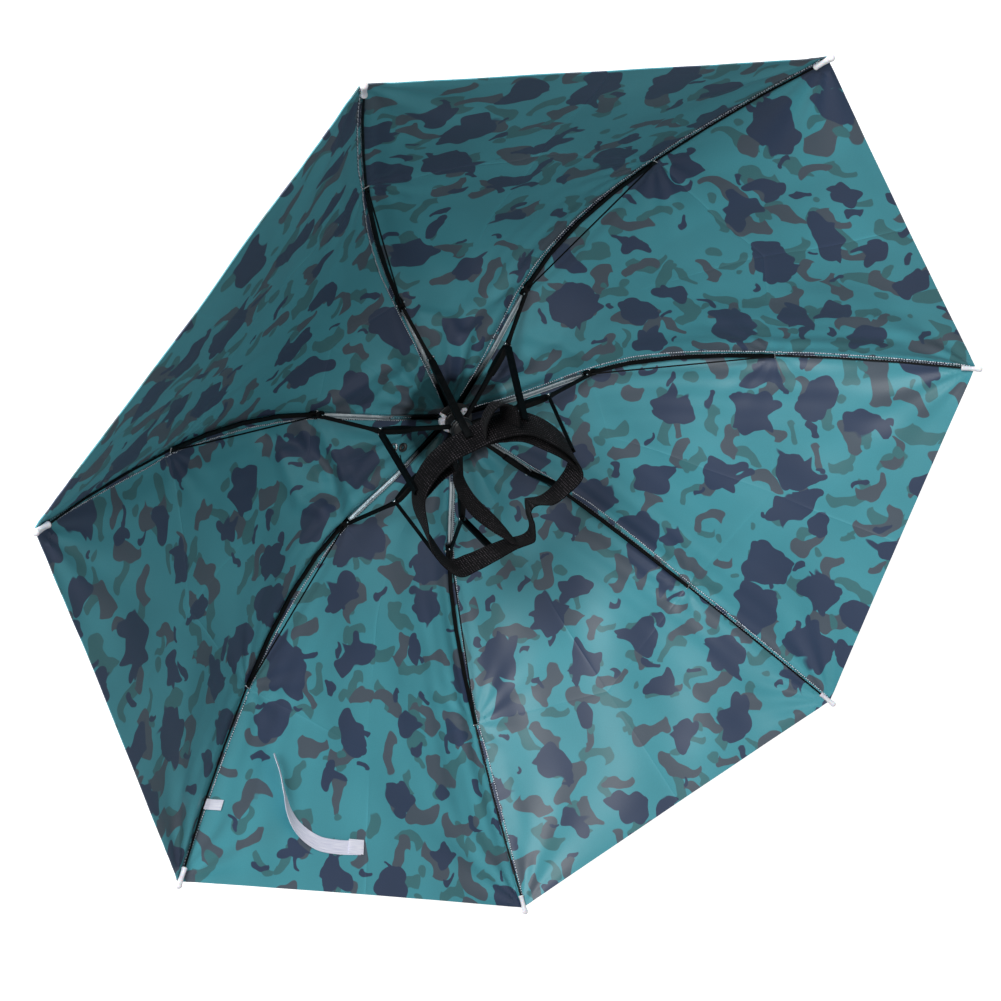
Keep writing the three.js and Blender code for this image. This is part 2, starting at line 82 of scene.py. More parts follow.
@dataclass
class Shape:
    """Points and faces of a mesh under construction.

    Args:
        points: One row of three metres for each point.
        faces: Arrays of point numbers, one row for each face.
        uv: One pair in metres for each point.
    """

    points: np.ndarray
    faces: list[np.ndarray]
    uv: np.ndarray

    def turned_out(self) -> Shape:
        """Return the same closed shape with its faces pointing out.

        The signed volume is the sum of the tetrahedra between the middle and each face. Where it is negative,
        every face is reversed.

        Returns:
            The shape itself or its mirror in winding.
        """
        middle = self.points.mean(axis=0)
        volume = 0.0
        for faces in self.faces:
            corners = self.points[faces] - middle
            for k in range(1, faces.shape[1] - 1):
                cross = np.cross(corners[:, k], corners[:, k + 1])
                volume += float((corners[:, 0] * cross).sum())
        if volume < 0:
            return Shape(self.points, [faces[:, ::-1] for faces in self.faces], self.uv)
        return self


def joined(shapes: list[Shape]) -> Shape:
    """Put several shapes into one, each with its own points.

    Args:
        shapes: The shapes to put together.

    Returns:
        One shape with all points and faces.
    """
    faces: list[np.ndarray] = []
    start = 0
    for shape in shapes:
        faces += [part + start for part in shape.faces]
        start += len(shape.points)
    return Shape(np.concatenate([s.points for s in shapes]), faces, np.concatenate([s.uv for s in shapes]))


def tube(points: np.ndarray, closed: bool = False) -> Shape:
    """Skin a run of closed sections.

    Section k's point j meets its neighbours j + 1 in the section and k + 1 along the run. The first and last
    section are closed with a flat face, or meet each other on a closed run.

    Args:
        points: Array of (sections, points in a section, 3).
        closed: Whether the last section meets the first.

    Returns:
        A closed shape whose UV is the way along and the way around, in metres.
    """
    runs, size, _ = points.shape
    spans = runs if closed else runs - 1
    k, j = np.meshgrid(np.arange(spans), np.arange(size), indexing="ij")
    after, beside = (k + 1) % runs, (j + 1) % size
    quads = np.stack([k * size + j, k * size + beside, after * size + beside, after * size + j], axis=-1)
    faces = [quads.reshape(-1, 4)]
    if not closed:
        faces += [np.arange(size)[None, ::-1], (runs - 1) * size + np.arange(size)[None, :]]
    along = np.concatenate([[0], np.cumsum(np.linalg.norm(np.diff(points.mean(axis=1), axis=0), axis=1))])
    steps = np.linalg.norm(points - np.roll(points, 1, axis=1), axis=2).cumsum(axis=1)
    uv = np.stack([np.broadcast_to(along[:, None], steps.shape), steps], axis=-1)
    return Shape(points.reshape(-1, 3), faces, uv.reshape(-1, 2)).turned_out()


def sheet(middle: np.ndarray, thickness: np.ndarray | float, uv: np.ndarray, closed: bool = False) -> Shape:
    """Give a surface its thickness.

    The normal is the cross product of the steps along rows and columns. Both faces lie half a thickness away
    from the middle along it, and the rim joins them.

    Args:
        middle: Array of (rows, columns, 3), the middle of the cloth.
        thickness: The thickness everywhere, or one for each point.
        uv: Array of (rows, columns, 2).
        closed: Whether the last row meets the first.

    Returns:
        A closed shape with both faces and the rim.
    """
    if closed:
        padded = np.concatenate([middle[-1:], middle, middle[:1]])
        along = np.gradient(padded, axis=0)[1:-1]
    else:
        along = np.gradient(middle, axis=0)
    normal = np.cross(along, np.gradient(middle, axis=1))
    normal /= np.linalg.norm(normal, axis=2, keepdims=True) + 1e-12
    half = np.broadcast_to(np.asarray(thickness, dtype=float), middle.shape[:2])[..., None] / 2
    loop = np.concatenate([middle + normal * half, (middle - normal * half)[:, ::-1]], axis=1)
    pairs = np.concatenate([uv, uv[:, ::-1]], axis=1)
    rows, size, _ = loop.shape
    spans = rows if closed else rows - 1
    k, j = np.meshgrid(np.arange(spans), np.arange(size), indexing="ij")
    after, beside = (k + 1) % rows, (j + 1) % size
    quads = np.stack([k * size + j, k * size + beside, after * size + beside, after * size + j], axis=-1)
    faces = [quads.reshape(-1, 4)]
    if not closed:
        c = np.arange(size // 2 - 1)
        cap = np.stack([c, c + 1, size - 2 - c, size - 1 - c], axis=-1)
        faces += [cap[:, ::-1], cap + (rows - 1) * size]
    return Shape(loop.reshape(-1, 3), faces, pairs.reshape(-1, 2)).turned_out()


def carried(path: np.ndarray, side: np.ndarray, up: np.ndarray, section: np.ndarray) -> np.ndarray:
    """Carry a section along a path: each point is the path plus its side and up shares.

    Args:
        path: Array of (sections, 3).
        side: Unit vectors of (sections, 3).
        up: Unit vectors of (sections, 3).
        section: Array of (points, 2), or (sections, points, 2) where it changes.

    Returns:
        Array of (sections, points, 3).
    """
    section = np.broadcast_to(section, (len(path), *section.shape[-2:]))
    return path[:, None] + side[:, None] * section[..., :1] + up[:, None] * section[..., 1:]


def ring(radius: float, count: int) -> np.ndarray:
    """Return a circle's points as (count, 2)."""
    turn = np.arange(count) * 2 * math.pi / count
    return radius * np.stack([np.cos(turn), np.sin(turn)], axis=-1)


def rounded_bar(width: float, height: float, corner: float, steps: int = 3) -> np.ndarray:
    """Return a bar's section with round corners, counter-clockwise.

    Args:
        width: Size across.
        height: Size up.
        corner: Radius of the corners.
        steps: Spans in each corner.

    Returns:
        Array of (points, 2).
    """
    turn = np.linspace(0, math.pi / 2, steps + 1)
    arc = corner * np.stack([np.cos(turn), np.sin(turn)], axis=-1)
    parts = []
    for k, (x, y) in enumerate([(1, 1), (-1, 1), (-1, -1), (1, -1)]):
        c, s = round(math.cos(k * math.pi / 2)), round(math.sin(k * math.pi / 2))
        turned_arc = arc @ np.array([[c, s], [-s, c]])
        parts.append(turned_arc + [x * (width / 2 - corner), y * (height / 2 - corner)])
    return np.concatenate(parts)


def framed(path: np.ndarray, up: np.ndarray, closed: bool = False) -> tuple[np.ndarray, np.ndarray]:
    """Work out side and up vectors along a path.

    The way along is the step between neighbours. Side is the way along crossed with the given up, and up is
    then made square to both.

    Args:
        path: Array of (sections, 3).
        up: Rough up vectors of (sections, 3), or one for all.
        closed: Whether the path is a loop.

    Returns:
        Unit side and up vectors.
    """
    if closed:
        along = np.roll(path, -1, axis=0) - np.roll(path, 1, axis=0)
    else:
        along = np.gradient(path, axis=0)
    along /= np.linalg.norm(along, axis=1, keepdims=True) + 1e-12
    side = np.cross(along, np.broadcast_to(up, path.shape))
    side /= np.linalg.norm(side, axis=1, keepdims=True) + 1e-12
    return side, np.cross(side, along)


def turned(profile: np.ndarray, centre: np.ndarray, axis: np.ndarray, sides: int = 24) -> Shape:
    """Turn a profile of (radius, height) pairs about an axis.

    Args:
        profile: Array of (points, 2). It starts and ends near the axis.
        centre: The point where height is zero.
        axis: Unit vector of the axis.
        sides: Facets around.

    Returns:
        A closed shape.
    """
    axis = np.asarray(axis, dtype=float)
    seed = np.array([1.0, 0, 0]) if abs(axis[0]) < 0.9 else np.array([0, 1.0, 0])
    side = np.cross(axis, seed)
    side /= np.linalg.norm(side)
    other = np.cross(axis, side)
    circle = ring(1.0, sides)
    spoke = circle[:, :1] * side + circle[:, 1:] * other
    points = profile[:, 0, None, None] * spoke + profile[:, 1, None, None] * axis
    return tube(points + np.asarray(centre))


def pin(centre: np.ndarray, axis: np.ndarray, length: float, radius: float, head: float) -> Shape:
    """Make a rivet with two domed heads.

    Args:
        centre: Its middle.
        axis: Unit vector along it.
        length: Between the undersides of its heads.
        radius: Of its shank.
        head: Radius of its heads.

    Returns:
        A closed turned shape.
    """
    turn = np.linspace(0, math.pi / 2, 5)
    dome = np.stack([head * np.cos(turn), length / 2 + head * 0.55 * np.sin(turn)], axis=-1)
    dome[-1, 0] = head * 0.05
    shank = [[radius, -length / 2], [radius, length / 2]]
    profile = np.concatenate([(dome * [1, -1])[::-1], shank, dome])
    return turned(profile, centre, axis, 14)


def piece(
    name: str,
    shape: Shape,
    material: bpy.types.Material,
    replaces: tuple[str, ...] = (),
    values: dict[str, np.ndarray] | None = None,
    crease: float = 40.0,
) -> bpy.types.Object:
    """Make a Blender object from a shape and dress it.

    Args:
        name: The object's name.
        shape: Its points and faces.
        material: Its finish.
        replaces: CAD nodes that it stands for.
        values: Extra attributes, one number for each point.
        crease: Edges sharper than this many degrees stay sharp.

    Returns:
        The object, riding on the body.
    """
    mesh = bpy.data.meshes.new(name)
    corners = np.concatenate([part.ravel() for part in shape.faces]).astype(np.int32)
    sizes = np.concatenate([np.full(len(part), part.shape[1]) for part in shape.faces])
    mesh.vertices.add(len(shape.points))
    mesh.vertices.foreach_set("co", shape.points.astype(np.float32).ravel())
    mesh.loops.add(len(corners))
    mesh.loops.foreach_set("vertex_index", corners)
    mesh.polygons.add(len(sizes))
    mesh.polygons.foreach_set("loop_start", np.concatenate([[0], np.cumsum(sizes)[:-1]]).astype(np.int32))
    layer = mesh.uv_layers.new(name="flat")
    layer.data.foreach_set("uv", shape.uv[corners].astype(np.float32).ravel())
    for key, numbers in (values or {}).items():
        attribute = mesh.attributes.new(key, "FLOAT", "POINT")
        attribute.data.foreach_set("value", numbers.astype(np.float32).ravel())
    mesh.update(calc_edges=True)
    mesh.validate()
    mesh.shade_smooth()
    mesh.set_sharp_from_angle(angle=math.radians(crease))
    mesh.materials.append(material)
    thing = bpy.data.objects.new(name, mesh)
    bpy.context.scene.collection.objects.link(thing)
    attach(thing, BODY)
    if replaces:
        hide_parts(*replaces)
    LOG.info("%s: %d faces", name, len(sizes))
    return thing


# Finishes


class Nodes:
    """A material's node tree, with short calls to add and join its nodes."""

    def __init__(self, name: str) -> None:
        """Start a material with a plain surface shader.

        Args:
            name: The material's name.
        """
        self.material = bpy.data.materials.new(name)
        self.material.use_nodes = True
        self.tree = self.material.node_tree
        self.shader = self.tree.nodes["Principled BSDF"]

    def add(self, kind: str, settings: dict[str, object] | None = None, **sockets: object) -> bpy.types.Node:
        """Add a node.

        Args:
            kind: Its type without the ShaderNode prefix.
            settings: Its own settings.
            **sockets: What goes into its inputs, by name with _ for a space. A socket is joined, and all else
                is set.

        Returns:
            The node.
        """
        node = self.tree.nodes.new("ShaderNode" + kind)
        for key, value in (settings or {}).items():
            setattr(node, key, value)
        for key, value in sockets.items():
            self.put(node.inputs[key.replace("_", " ")], value)
        return node

    def put(self, target: bpy.types.NodeSocket, value: object) -> None:
        """Join a socket to an input, or set the input's value.

        Args:
            target: The input.
            value: A socket to join, or what the input is set to.
        """
        if isinstance(value, bpy.types.NodeSocket):
            self.tree.links.new(value, target)
        else:
            target.default_value = value

    def math(self, operation: str, *values: object) -> bpy.types.NodeSocket:
        """Add a Math node.

        Args:
            operation: What it works out.
            *values: Numbers to set or sockets to join, in the order of its inputs.

        Returns:
            Its result.
        """
        node = self.add("Math", {"operation": operation})
        for target, value in zip(node.inputs, values):
            self.put(target, value)
        return node.outputs[0]

    def vector(self, operation: str, *values: object) -> bpy.types.NodeSocket:
        """Add a Vector Math node.

        Args:
            operation: What it works out.
            *values: Vectors to set or sockets to join, in the order of its inputs.

        Returns:
            Its vector, or its value for a length.
        """
        node = self.add("VectorMath", {"operation": operation})
        for target, value in zip(node.inputs, values):
            self.put(target, value)
        return node.outputs["Value" if operation == "LENGTH" else "Vector"]

    def span(
        self, value: object, low: float, high: float, to_low: float = 0, to_high: float = 1
    ) -> bpy.types.NodeSocket:
        """Map a value from one range to another, held at its ends.

        Args:
            value: The value, or the socket that gives it.
            low: Start of its range.
            high: End of its range.
            to_low: What the start becomes.
            to_high: What the end becomes.

        Returns:
            The result.
        """
        node = self.add("MapRange", {"clamp": True})
        names = ("Value", "From Min", "From Max", "To Min", "To Max")
        for key, number in zip(names, (value, low, high, to_low, to_high)):
            self.put(node.inputs[key], number)
        return node.outputs["Result"]

    def mix(self, share: object, first: object, second: object) -> bpy.types.NodeSocket:
        """Mix two colours by a share.

        Args:
            share: How much of the second colour shows.
            first: The colour at 0.
            second: The colour at 1.

        Returns:
            The mixed colour.
        """
        node = self.add("Mix", {"data_type": "RGBA"})
        colours = [socket for socket in node.inputs if socket.type == "RGBA"]
        self.put(node.inputs[0], share)
        for target, value in zip(colours, (first, second)):
            self.put(target, value)
        return next(socket for socket in node.outputs if socket.type == "RGBA")

    def bump(self, height: object, strength: float = 1.0) -> None:
        """Send a height in metres through a Bump node to the shader's normal."""
        node = self.add("Bump", Height=height, Strength=strength, Distance=1.0)
        self.put(self.shader.inputs["Normal"], node.outputs["Normal"])

    def surface(self, **sockets: object) -> bpy.types.Material:
        """Set or join the shader's inputs, by name with _ for a space, and return the material."""
        for key, value in sockets.items():
            self.put(self.shader.inputs[key.replace("_", " ")], value)
        return self.material


def srgb(red: int, green: int, blue: int) -> tuple[float, float, float, float]:
    """Turn a screen colour of 0 to 255 into linear light."""
    shares = [c / 255 for c in (red, green, blue)]
    return (*[s / 12.92 if s <= 0.04045 else ((s + 0.055) / 1.055) ** 2.4 for s in shares], 1.0)


@dataclass(frozen=True)
class Blotch:
    """One kind of patch in the printed pattern.

    Args:
        colour: Its linear colour.
        spacing: Between two patches, in metres.
        smallest: Its least half length, as a share of the spacing.
        largest: Its greatest half length, as a share of the spacing.
        share: How many places hold a patch.
        stretch: How much longer it is than wide.
        wobble: How far its outline wanders, as a share of the spacing.
        lobes: How far round lobes stand out of it, as a share of the spacing.
        bite: Size of the bite in its side, as a share of the patch, or 0 for none.
        start: Where the pattern starts, in metres.
    """

    colour: tuple[float, float, float, float]
    spacing: float
    smallest: float
    largest: float
    share: float
    stretch: float
    wobble: float
    lobes: float
    bite: float
    start: float


@dataclass(frozen=True)
class PrintedCloth:
    """Thin satin umbrella cloth with a camouflage print, packing creases, a fine weave and painted shade
    around the hub.

    Args:
        ground: Colour between the patches.
        navy: Colour of the darkest patches.
        brown: Colour of the brown patches.
        olive: Colour of the olive patches.
        edge: Half width of the soft edge of a patch.
        roughness: Of the shader.
        gloss: The shader's specular level.
        hub_shade_radius: Way from the hub within which painted shade darkens the print and lowers its gloss.
        thread_relief: Height of the weave.
        crease_width: Way from a packing crease at which it has fallen to about a third.
        crease_height: Of a packing crease.
        crease_tone: How much lighter a crease is.
    """

    ground: tuple[float, float, float, float] = srgb(68, 151, 164)
    navy: tuple[float, float, float, float] = srgb(46, 62, 90)
    brown: tuple[float, float, float, float] = srgb(76, 88, 100)
    olive: tuple[float, float, float, float] = srgb(60, 116, 122)
    edge: float = 0.45 * MM
    roughness: float = 0.5
    gloss: float = 0.6
    hub_shade_radius: float = 63 * MM
    thread_relief: float = 0.00003
    crease_width: float = 0.0018
    crease_height: float = 0.0005
    crease_tone: float = 0.10

    def blotches(self) -> tuple[Blotch, ...]:
        """Return the kinds of patch, the lowest first."""
        return (
            Blotch(self.olive, 0.048, 0.26, 0.48, 0.88, 1.9, 0.22, 0.0, 0.85, 3.1),
            Blotch(self.brown, 0.052, 0.26, 0.5, 0.88, 1.8, 0.22, 0.0, 0.8, 7.7),
            Blotch(self.olive, 0.034, 0.12, 0.26, 0.3, 1.5, 0.15, 0.0, 0.0, 9.3),
            Blotch(self.navy, 0.037, 0.14, 0.34, 0.42, 2.0, 0.18, 0.0, 0.7, 1.9),
            Blotch(self.navy, 0.071, 0.2, 0.43, 0.93, 1.35, 0.2, 0.24, 0.0, 5.3),
        )

    def patch(self, nodes: Nodes, flat: bpy.types.NodeSocket, blotch: Blotch) -> bpy.types.NodeSocket:
        """Work out where one kind of patch lies.

        The cloth is divided into cells, whose middles are scattered. Each holds an oval that points its own
        way: a place is in it where its half length exceeds the place's distance, stretched across the oval.
        The nearness of a finer grid of cells is added to that for lobes, and a round bite is taken out of one
        side.

        Args:
            nodes: The material.
            flat: The place on the flat cloth, in metres.
            blotch: The kind of patch.

        Returns:
            1 in a patch and 0 outside, with a soft edge.
        """
        scale = 1 / blotch.spacing
        start = (blotch.start, blotch.start * 0.7, 0.0)
        placed = nodes.add("Mapping", Vector=flat, Location=start, Scale=(scale, scale, 1.0)).outputs[0]
        flat_noise = {"noise_dimensions": "2D"}
        flat_cells = {"voronoi_dimensions": "2D"}
        noise = nodes.add("TexNoise", flat_noise, Vector=placed, Scale=1.9, Detail=0.9).outputs["Color"]
        middled = nodes.vector("SUBTRACT", noise, (0.5, 0.5, 0.5))
        wander = nodes.vector("MULTIPLY", middled, (2 * blotch.wobble,) * 3)
        place = nodes.vector("ADD", placed, wander)
        cells = nodes.add("TexVoronoi", flat_cells, Vector=place, Scale=1.0, Randomness=0.7)
        draw = nodes.add("SeparateColor", Color=cells.outputs["Color"]).outputs
        away = nodes.vector("SUBTRACT", place, cells.outputs["Position"])
        angle = nodes.math("MULTIPLY", draw[2], 2 * math.pi)
        own = nodes.add("VectorRotate", {"rotation_type": "Z_AXIS"}, Vector=away, Angle=angle).outputs[0]
        own = nodes.vector("MULTIPLY", own, (1.0, blotch.stretch, 0.0))
        radius = nodes.span(draw[0], 0.0, 1.0, blotch.smallest, blotch.largest)
        depth = nodes.math("SUBTRACT", radius, nodes.vector("LENGTH", own))
        if blotch.lobes:
            rounded = {**flat_cells, "feature": "SMOOTH_F1"}
            fine = nodes.add("TexVoronoi", rounded, Vector=place, Scale=3.9, Randomness=0.9, Smoothness=0.22)
            lobe = nodes.math("SUBTRACT", 0.36, fine.outputs["Distance"])
            depth = nodes.math("ADD", depth, nodes.math("MULTIPLY", lobe, blotch.lobes))
        edge = self.edge * scale
        chosen = nodes.math("LESS_THAN", draw[1], blotch.share)
        mask = nodes.math("MULTIPLY", nodes.span(depth, -edge, edge), chosen)
        if blotch.bite:
            aside = nodes.add("CombineXYZ", X=nodes.math("MULTIPLY", radius, 0.3), Y=radius).outputs[0]
            far = nodes.vector("LENGTH", nodes.vector("SUBTRACT", own, aside))
            free = nodes.math("SUBTRACT", far, nodes.math("MULTIPLY", radius, blotch.bite))
            mask = nodes.math("MULTIPLY", mask, nodes.span(free, -edge, edge))
        return mask

    def material(self, name: str, packing: tuple[tuple[float, float, float], ...] = ()) -> bpy.types.Material:
        """Build the finish.

        Args:
            name: The material's name.
            packing: Creases as (start on the middle line, share of the way along, share of the way across),
                each the straight line where start = along times u plus across times |v|.

        Returns:
            The material.
        """
        nodes = Nodes(name)
        flat = nodes.add("UVMap", {"uv_map": "flat"}).outputs[0]
        shift = nodes.add("Attribute", {"attribute_name": "print_shift"}).outputs["Fac"]
        offset = nodes.add("CombineXYZ", X=shift, Y=nodes.math("MULTIPLY", shift, 0.61)).outputs[0]
        moved = nodes.vector("ADD", flat, offset)
        colour = self.ground
        for blotch in self.blotches():
            colour = nodes.mix(self.patch(nodes, moved, blotch), colour, blotch.colour)
        flat_noise = {"noise_dimensions": "2D"}
        clouds = nodes.add("TexNoise", flat_noise, Vector=moved, Scale=14.0, Detail=3.0).outputs["Fac"]
        threads = nodes.add("TexNoise", flat_noise, Vector=moved, Scale=900.0, Detail=1.0).outputs["Fac"]
        worn = nodes.add("TexNoise", flat_noise, Vector=moved, Scale=6.0, Detail=1.0).outputs["Fac"]
        slow_tone = nodes.span(clouds, 0.3, 0.7, -0.04, 0.04)
        tone = nodes.math("ADD", slow_tone, nodes.span(threads, 0.3, 0.7, -0.03, 0.03))
        height = nodes.math("MULTIPLY", threads, self.thread_relief)
        if packing:
            parts = nodes.add("SeparateXYZ", Vector=flat).outputs
            across = nodes.math("ABSOLUTE", parts[1])
            fade = nodes.span(worn, 0.38, 0.6, 0.15, 1.0)
            for start, along, beside in packing:
                reached = nodes.math("MULTIPLY", parts[0], along)
                both = nodes.math("ADD", reached, nodes.math("MULTIPLY", across, beside))
                away = nodes.math("ABSOLUTE", nodes.math("SUBTRACT", both, start))
                sharp = nodes.math("EXPONENT", nodes.math("MULTIPLY", away, -1 / self.crease_width))
                fold = nodes.math("MULTIPLY", sharp, fade)
                height = nodes.math("ADD", height, nodes.math("MULTIPLY", fold, self.crease_height))
                tone = nodes.math("ADD", tone, nodes.math("MULTIPLY", fold, self.crease_tone))
        # Painted shade around the hub: within the radius, with a wavering edge, the print darkens to about a
        # quarter and its gloss drops alike.
        out = nodes.math("ADD", nodes.vector("LENGTH", flat), nodes.span(worn, 0.3, 0.7, -0.008, 0.008))
        dim = nodes.span(out, self.hub_shade_radius * 0.86, self.hub_shade_radius, 0.26, 1.0)
        value = nodes.math("MULTIPLY", nodes.math("ADD", tone, 1.0), dim)
        colour = nodes.add("HueSaturation", Color=colour, Value=value).outputs[0]
        nodes.bump(height)
        return nodes.surface(
            Base_Color=colour,
            Roughness=self.roughness,
            Specular_IOR_Level=nodes.math("MULTIPLY", dim, self.gloss),
            Sheen_Weight=0.06,
            Sheen_Roughness=0.5,
        )


@dataclass(frozen=True)
class Steel:
    """Drawn steel strip, bright or painted black, with fine marks, rubbed edges and, where asked, painted
    shade near the hub.

    Args:
        colour: Of the strip.
        rubbed: Colour where it is rubbed.
        roughness: In the mean.
        metallic: 1 for bare steel and 0 for paint.
        specular: The shader's specular level.
        painted_shade_reach: Way from the hub within which painted shade darkens it, or 0 for none.
    """

    colour: tuple[float, float, float, float]
    rubbed: tuple[float, float, float, float]
    roughness: float
    metallic: float
    specular: float = 0.5
    painted_shade_reach: float = 0.0

    def material(self, name: str) -> bpy.types.Material:
        """Build the finish on the piece's own coordinates.

        Args:
            name: The material's name.

        Returns:
            The material.
        """
        nodes = Nodes(name)
        place = nodes.add("TexCoord").outputs["Object"]
        fine = nodes.add("TexNoise", Vector=place, Scale=900.0, Detail=2.0).outputs["Fac"]
        broad = nodes.add("TexNoise", Vector=place, Scale=90.0, Detail=3.0).outputs["Fac"]
        worn = nodes.math("MULTIPLY", nodes.span(broad, 0.48, 0.72), nodes.span(fine, 0.35, 0.65))
        rough = nodes.span(broad, 0.3, 0.7, self.roughness * 0.8, self.roughness * 1.25)
        nodes.bump(nodes.math("MULTIPLY", fine, 0.00002))
        colour = nodes.mix(worn, self.colour, self.rubbed)
        # Painted shade: the steel turns near black towards the hub, fading out between 0.6 and 1 times the
        # reach.
        if self.painted_shade_reach:
            level = nodes.vector("LENGTH", nodes.vector("MULTIPLY", place, (1.0, 1.0, 0.0)))
            clear = nodes.span(level, self.painted_shade_reach * 0.6, self.painted_shade_reach)
            colour = nodes.mix(clear, srgb(16, 18, 21), colour)
        return nodes.surface(
            Base_Color=colour, Roughness=rough, Metallic=self.metallic, Specular_IOR_Level=self.specular
        )


@dataclass(frozen=True)
class Plastic:
    """Moulded plastic with a faint mottle.

    Args:
        colour: Of the plastic.
        shade: Colour of the mottle.
        roughness: In the mean.
        clearness: How much light it lets in.
    """

    colour: tuple[float, float, float, float]
    shade: tuple[float, float, float, float]
    roughness: float
    clearness: float = 0.0

    def material(self, name: str) -> bpy.types.Material:
        """Build the finish on the piece's own coordinates.

        Args:
            name: The material's name.

        Returns:
            The material.
        """
        nodes = Nodes(name)
        place = nodes.add("TexCoord").outputs["Object"]
        mottle = nodes.add("TexNoise", Vector=place, Scale=160.0, Detail=3.0).outputs["Fac"]
        grain = nodes.add("TexNoise", Vector=place, Scale=1500.0, Detail=1.0).outputs["Fac"]
        nodes.bump(nodes.math("MULTIPLY", grain, 0.00001))
        return nodes.surface(
            Base_Color=nodes.mix(nodes.span(mottle, 0.35, 0.7), self.colour, self.shade),
            Roughness=nodes.span(mottle, 0.3, 0.7, self.roughness * 0.85, self.roughness * 1.2),
            Subsurface_Weight=self.clearness,
            Subsurface_Scale=0.002,
        )


@dataclass(frozen=True)
class Webbing:
    """Coarse black webbing: ribs across, a herringbone of two thread directions and painted highlights on the
    raised threads.

    Args:
        dark: Colour between the threads.
        light: Colour of the painted highlight on the raised threads.
        pick: Way from one thread to the next.
        relief: Height of the weave.
        fluff_relief: Height of the loose fibres.
    """

    dark: tuple[float, float, float, float] = srgb(5, 5, 7)
    light: tuple[float, float, float, float] = srgb(104, 97, 103)
    pick: float = 2.6 * MM
    relief: float = 0.35 * MM
    fluff_relief: float = 0.00012

    def material(self, name: str) -> bpy.types.Material:
        """Build the finish on the webbing's flat coordinates, u along and v across.

        Two sines cross each other. The one along is shifted by the one across, which slants it to and fro.

        Args:
            name: The material's name.

        Returns:
            The material.
        """
        nodes = Nodes(name)
        parts = nodes.add("SeparateXYZ", Vector=nodes.add("UVMap", {"uv_map": "flat"}).outputs[0]).outputs
        turn = 2 * math.pi / self.pick
        warp = nodes.math("SINE", nodes.math("MULTIPLY", parts[1], turn))
        slant = nodes.math("MULTIPLY", warp, 1.4)
        weft = nodes.math("SINE", nodes.math("ADD", nodes.math("MULTIPLY", parts[0], turn), slant))
        crossed = nodes.math("MULTIPLY", nodes.math("ADD", weft, 1.0), nodes.math("ADD", warp, 1.3))
        weave = nodes.span(crossed, 0.0, 4.2)
        place = nodes.add("TexCoord").outputs["Object"]
        fluff = nodes.add("TexNoise", Vector=place, Scale=700.0, Detail=2.0).outputs["Fac"]
        worn = nodes.add("TexNoise", Vector=place, Scale=32.0, Detail=1.0).outputs["Fac"]
        # Painted highlight: the raised threads turn lighter, thinned by loose fibres and by slow random wear.
        painted_highlight = nodes.math("MULTIPLY", nodes.span(weave, 0.45, 0.9), nodes.span(fluff, 0.42, 0.6, 0.1, 1.0))
        painted_highlight = nodes.math("MULTIPLY", painted_highlight, nodes.span(worn, 0.38, 0.62, 0.2, 1.0))
        loose = nodes.math("MULTIPLY", fluff, self.fluff_relief)
        nodes.bump(nodes.math("ADD", nodes.math("MULTIPLY", weave, self.relief), loose))
        return nodes.surface(
            Base_Color=nodes.mix(painted_highlight, self.dark, self.light),
            Roughness=0.85,
            Specular_IOR_Level=0.12,
            Sheen_Weight=0.02,
            Sheen_Roughness=0.6,
        )


@dataclass(frozen=True)
class Ribbon:
    """Satin ribbon: fine lines along it and a soft shine.

    Args:
        colour: Of the ribbon.
        shade: Colour of its fine lines.
    """

    colour: tuple[float, float, float, float] = srgb(238, 238, 252)
    shade: tuple[float, float, float, float] = srgb(208, 210, 232)

    def material(self, name: str) -> bpy.types.Material:
        """Build the finish on the ribbon's flat coordinates, u along and v across.

        Args:
            name: The material's name.

        Returns:
            The material.
        """
        nodes = Nodes(name)
        flat = nodes.add("UVMap", {"uv_map": "flat"}).outputs[0]
        lines = nodes.add("Mapping", Vector=flat, Scale=(60.0, 2600.0, 1.0)).outputs[0]
        flat_noise = {"noise_dimensions": "2D"}
        threads = nodes.add("TexNoise", flat_noise, Vector=lines, Scale=1.0, Detail=1.0).outputs["Fac"]
        nodes.bump(nodes.math("MULTIPLY", threads, 0.00006))
        return nodes.surface(
            Base_Color=nodes.mix(nodes.span(threads, 0.35, 0.7), self.colour, self.shade),
            Roughness=0.42,
            Sheen_Weight=0.4,
            Anisotropic=0.4,
        )


@dataclass(frozen=True)
class Thread:
    """Sewing thread in short light stitches with dark gaps between them.

    Args:
        light: Colour of a stitch; on the black seam thread it is a painted highlight.
        dark: Colour of the gap between two.
        stitch: Way from one stitch to the next.
        lit: Share of that way which the stitch takes.
    """

    light: tuple[float, float, float, float] = srgb(222, 229, 240)
    dark: tuple[float, float, float, float] = srgb(22, 26, 36)
    stitch: float = 2.6 * MM
    lit: float = 0.58

    def material(self, name: str) -> bpy.types.Material:
        """Build the finish on the thread's flat coordinates, u along it.

        Args:
            name: The material's name.

        Returns:
            The material.
        """
        nodes = Nodes(name)
        parts = nodes.add("SeparateXYZ", Vector=nodes.add("UVMap", {"uv_map": "flat"}).outputs[0]).outputs
        step = nodes.math("FRACT", nodes.math("MULTIPLY", parts[0], 1 / self.stitch))
        place = nodes.add("TexCoord").outputs["Object"]
        fluff = nodes.add("TexNoise", Vector=place, Scale=260.0, Detail=2.0).outputs["Fac"]
        uneven = nodes.math("ADD", step, nodes.span(fluff, 0.3, 0.7, -0.25, 0.25))
        gate = nodes.math("LESS_THAN", uneven, self.lit)
        return nodes.surface(Base_Color=nodes.mix(gate, self.dark, self.light), Roughness=0.6)


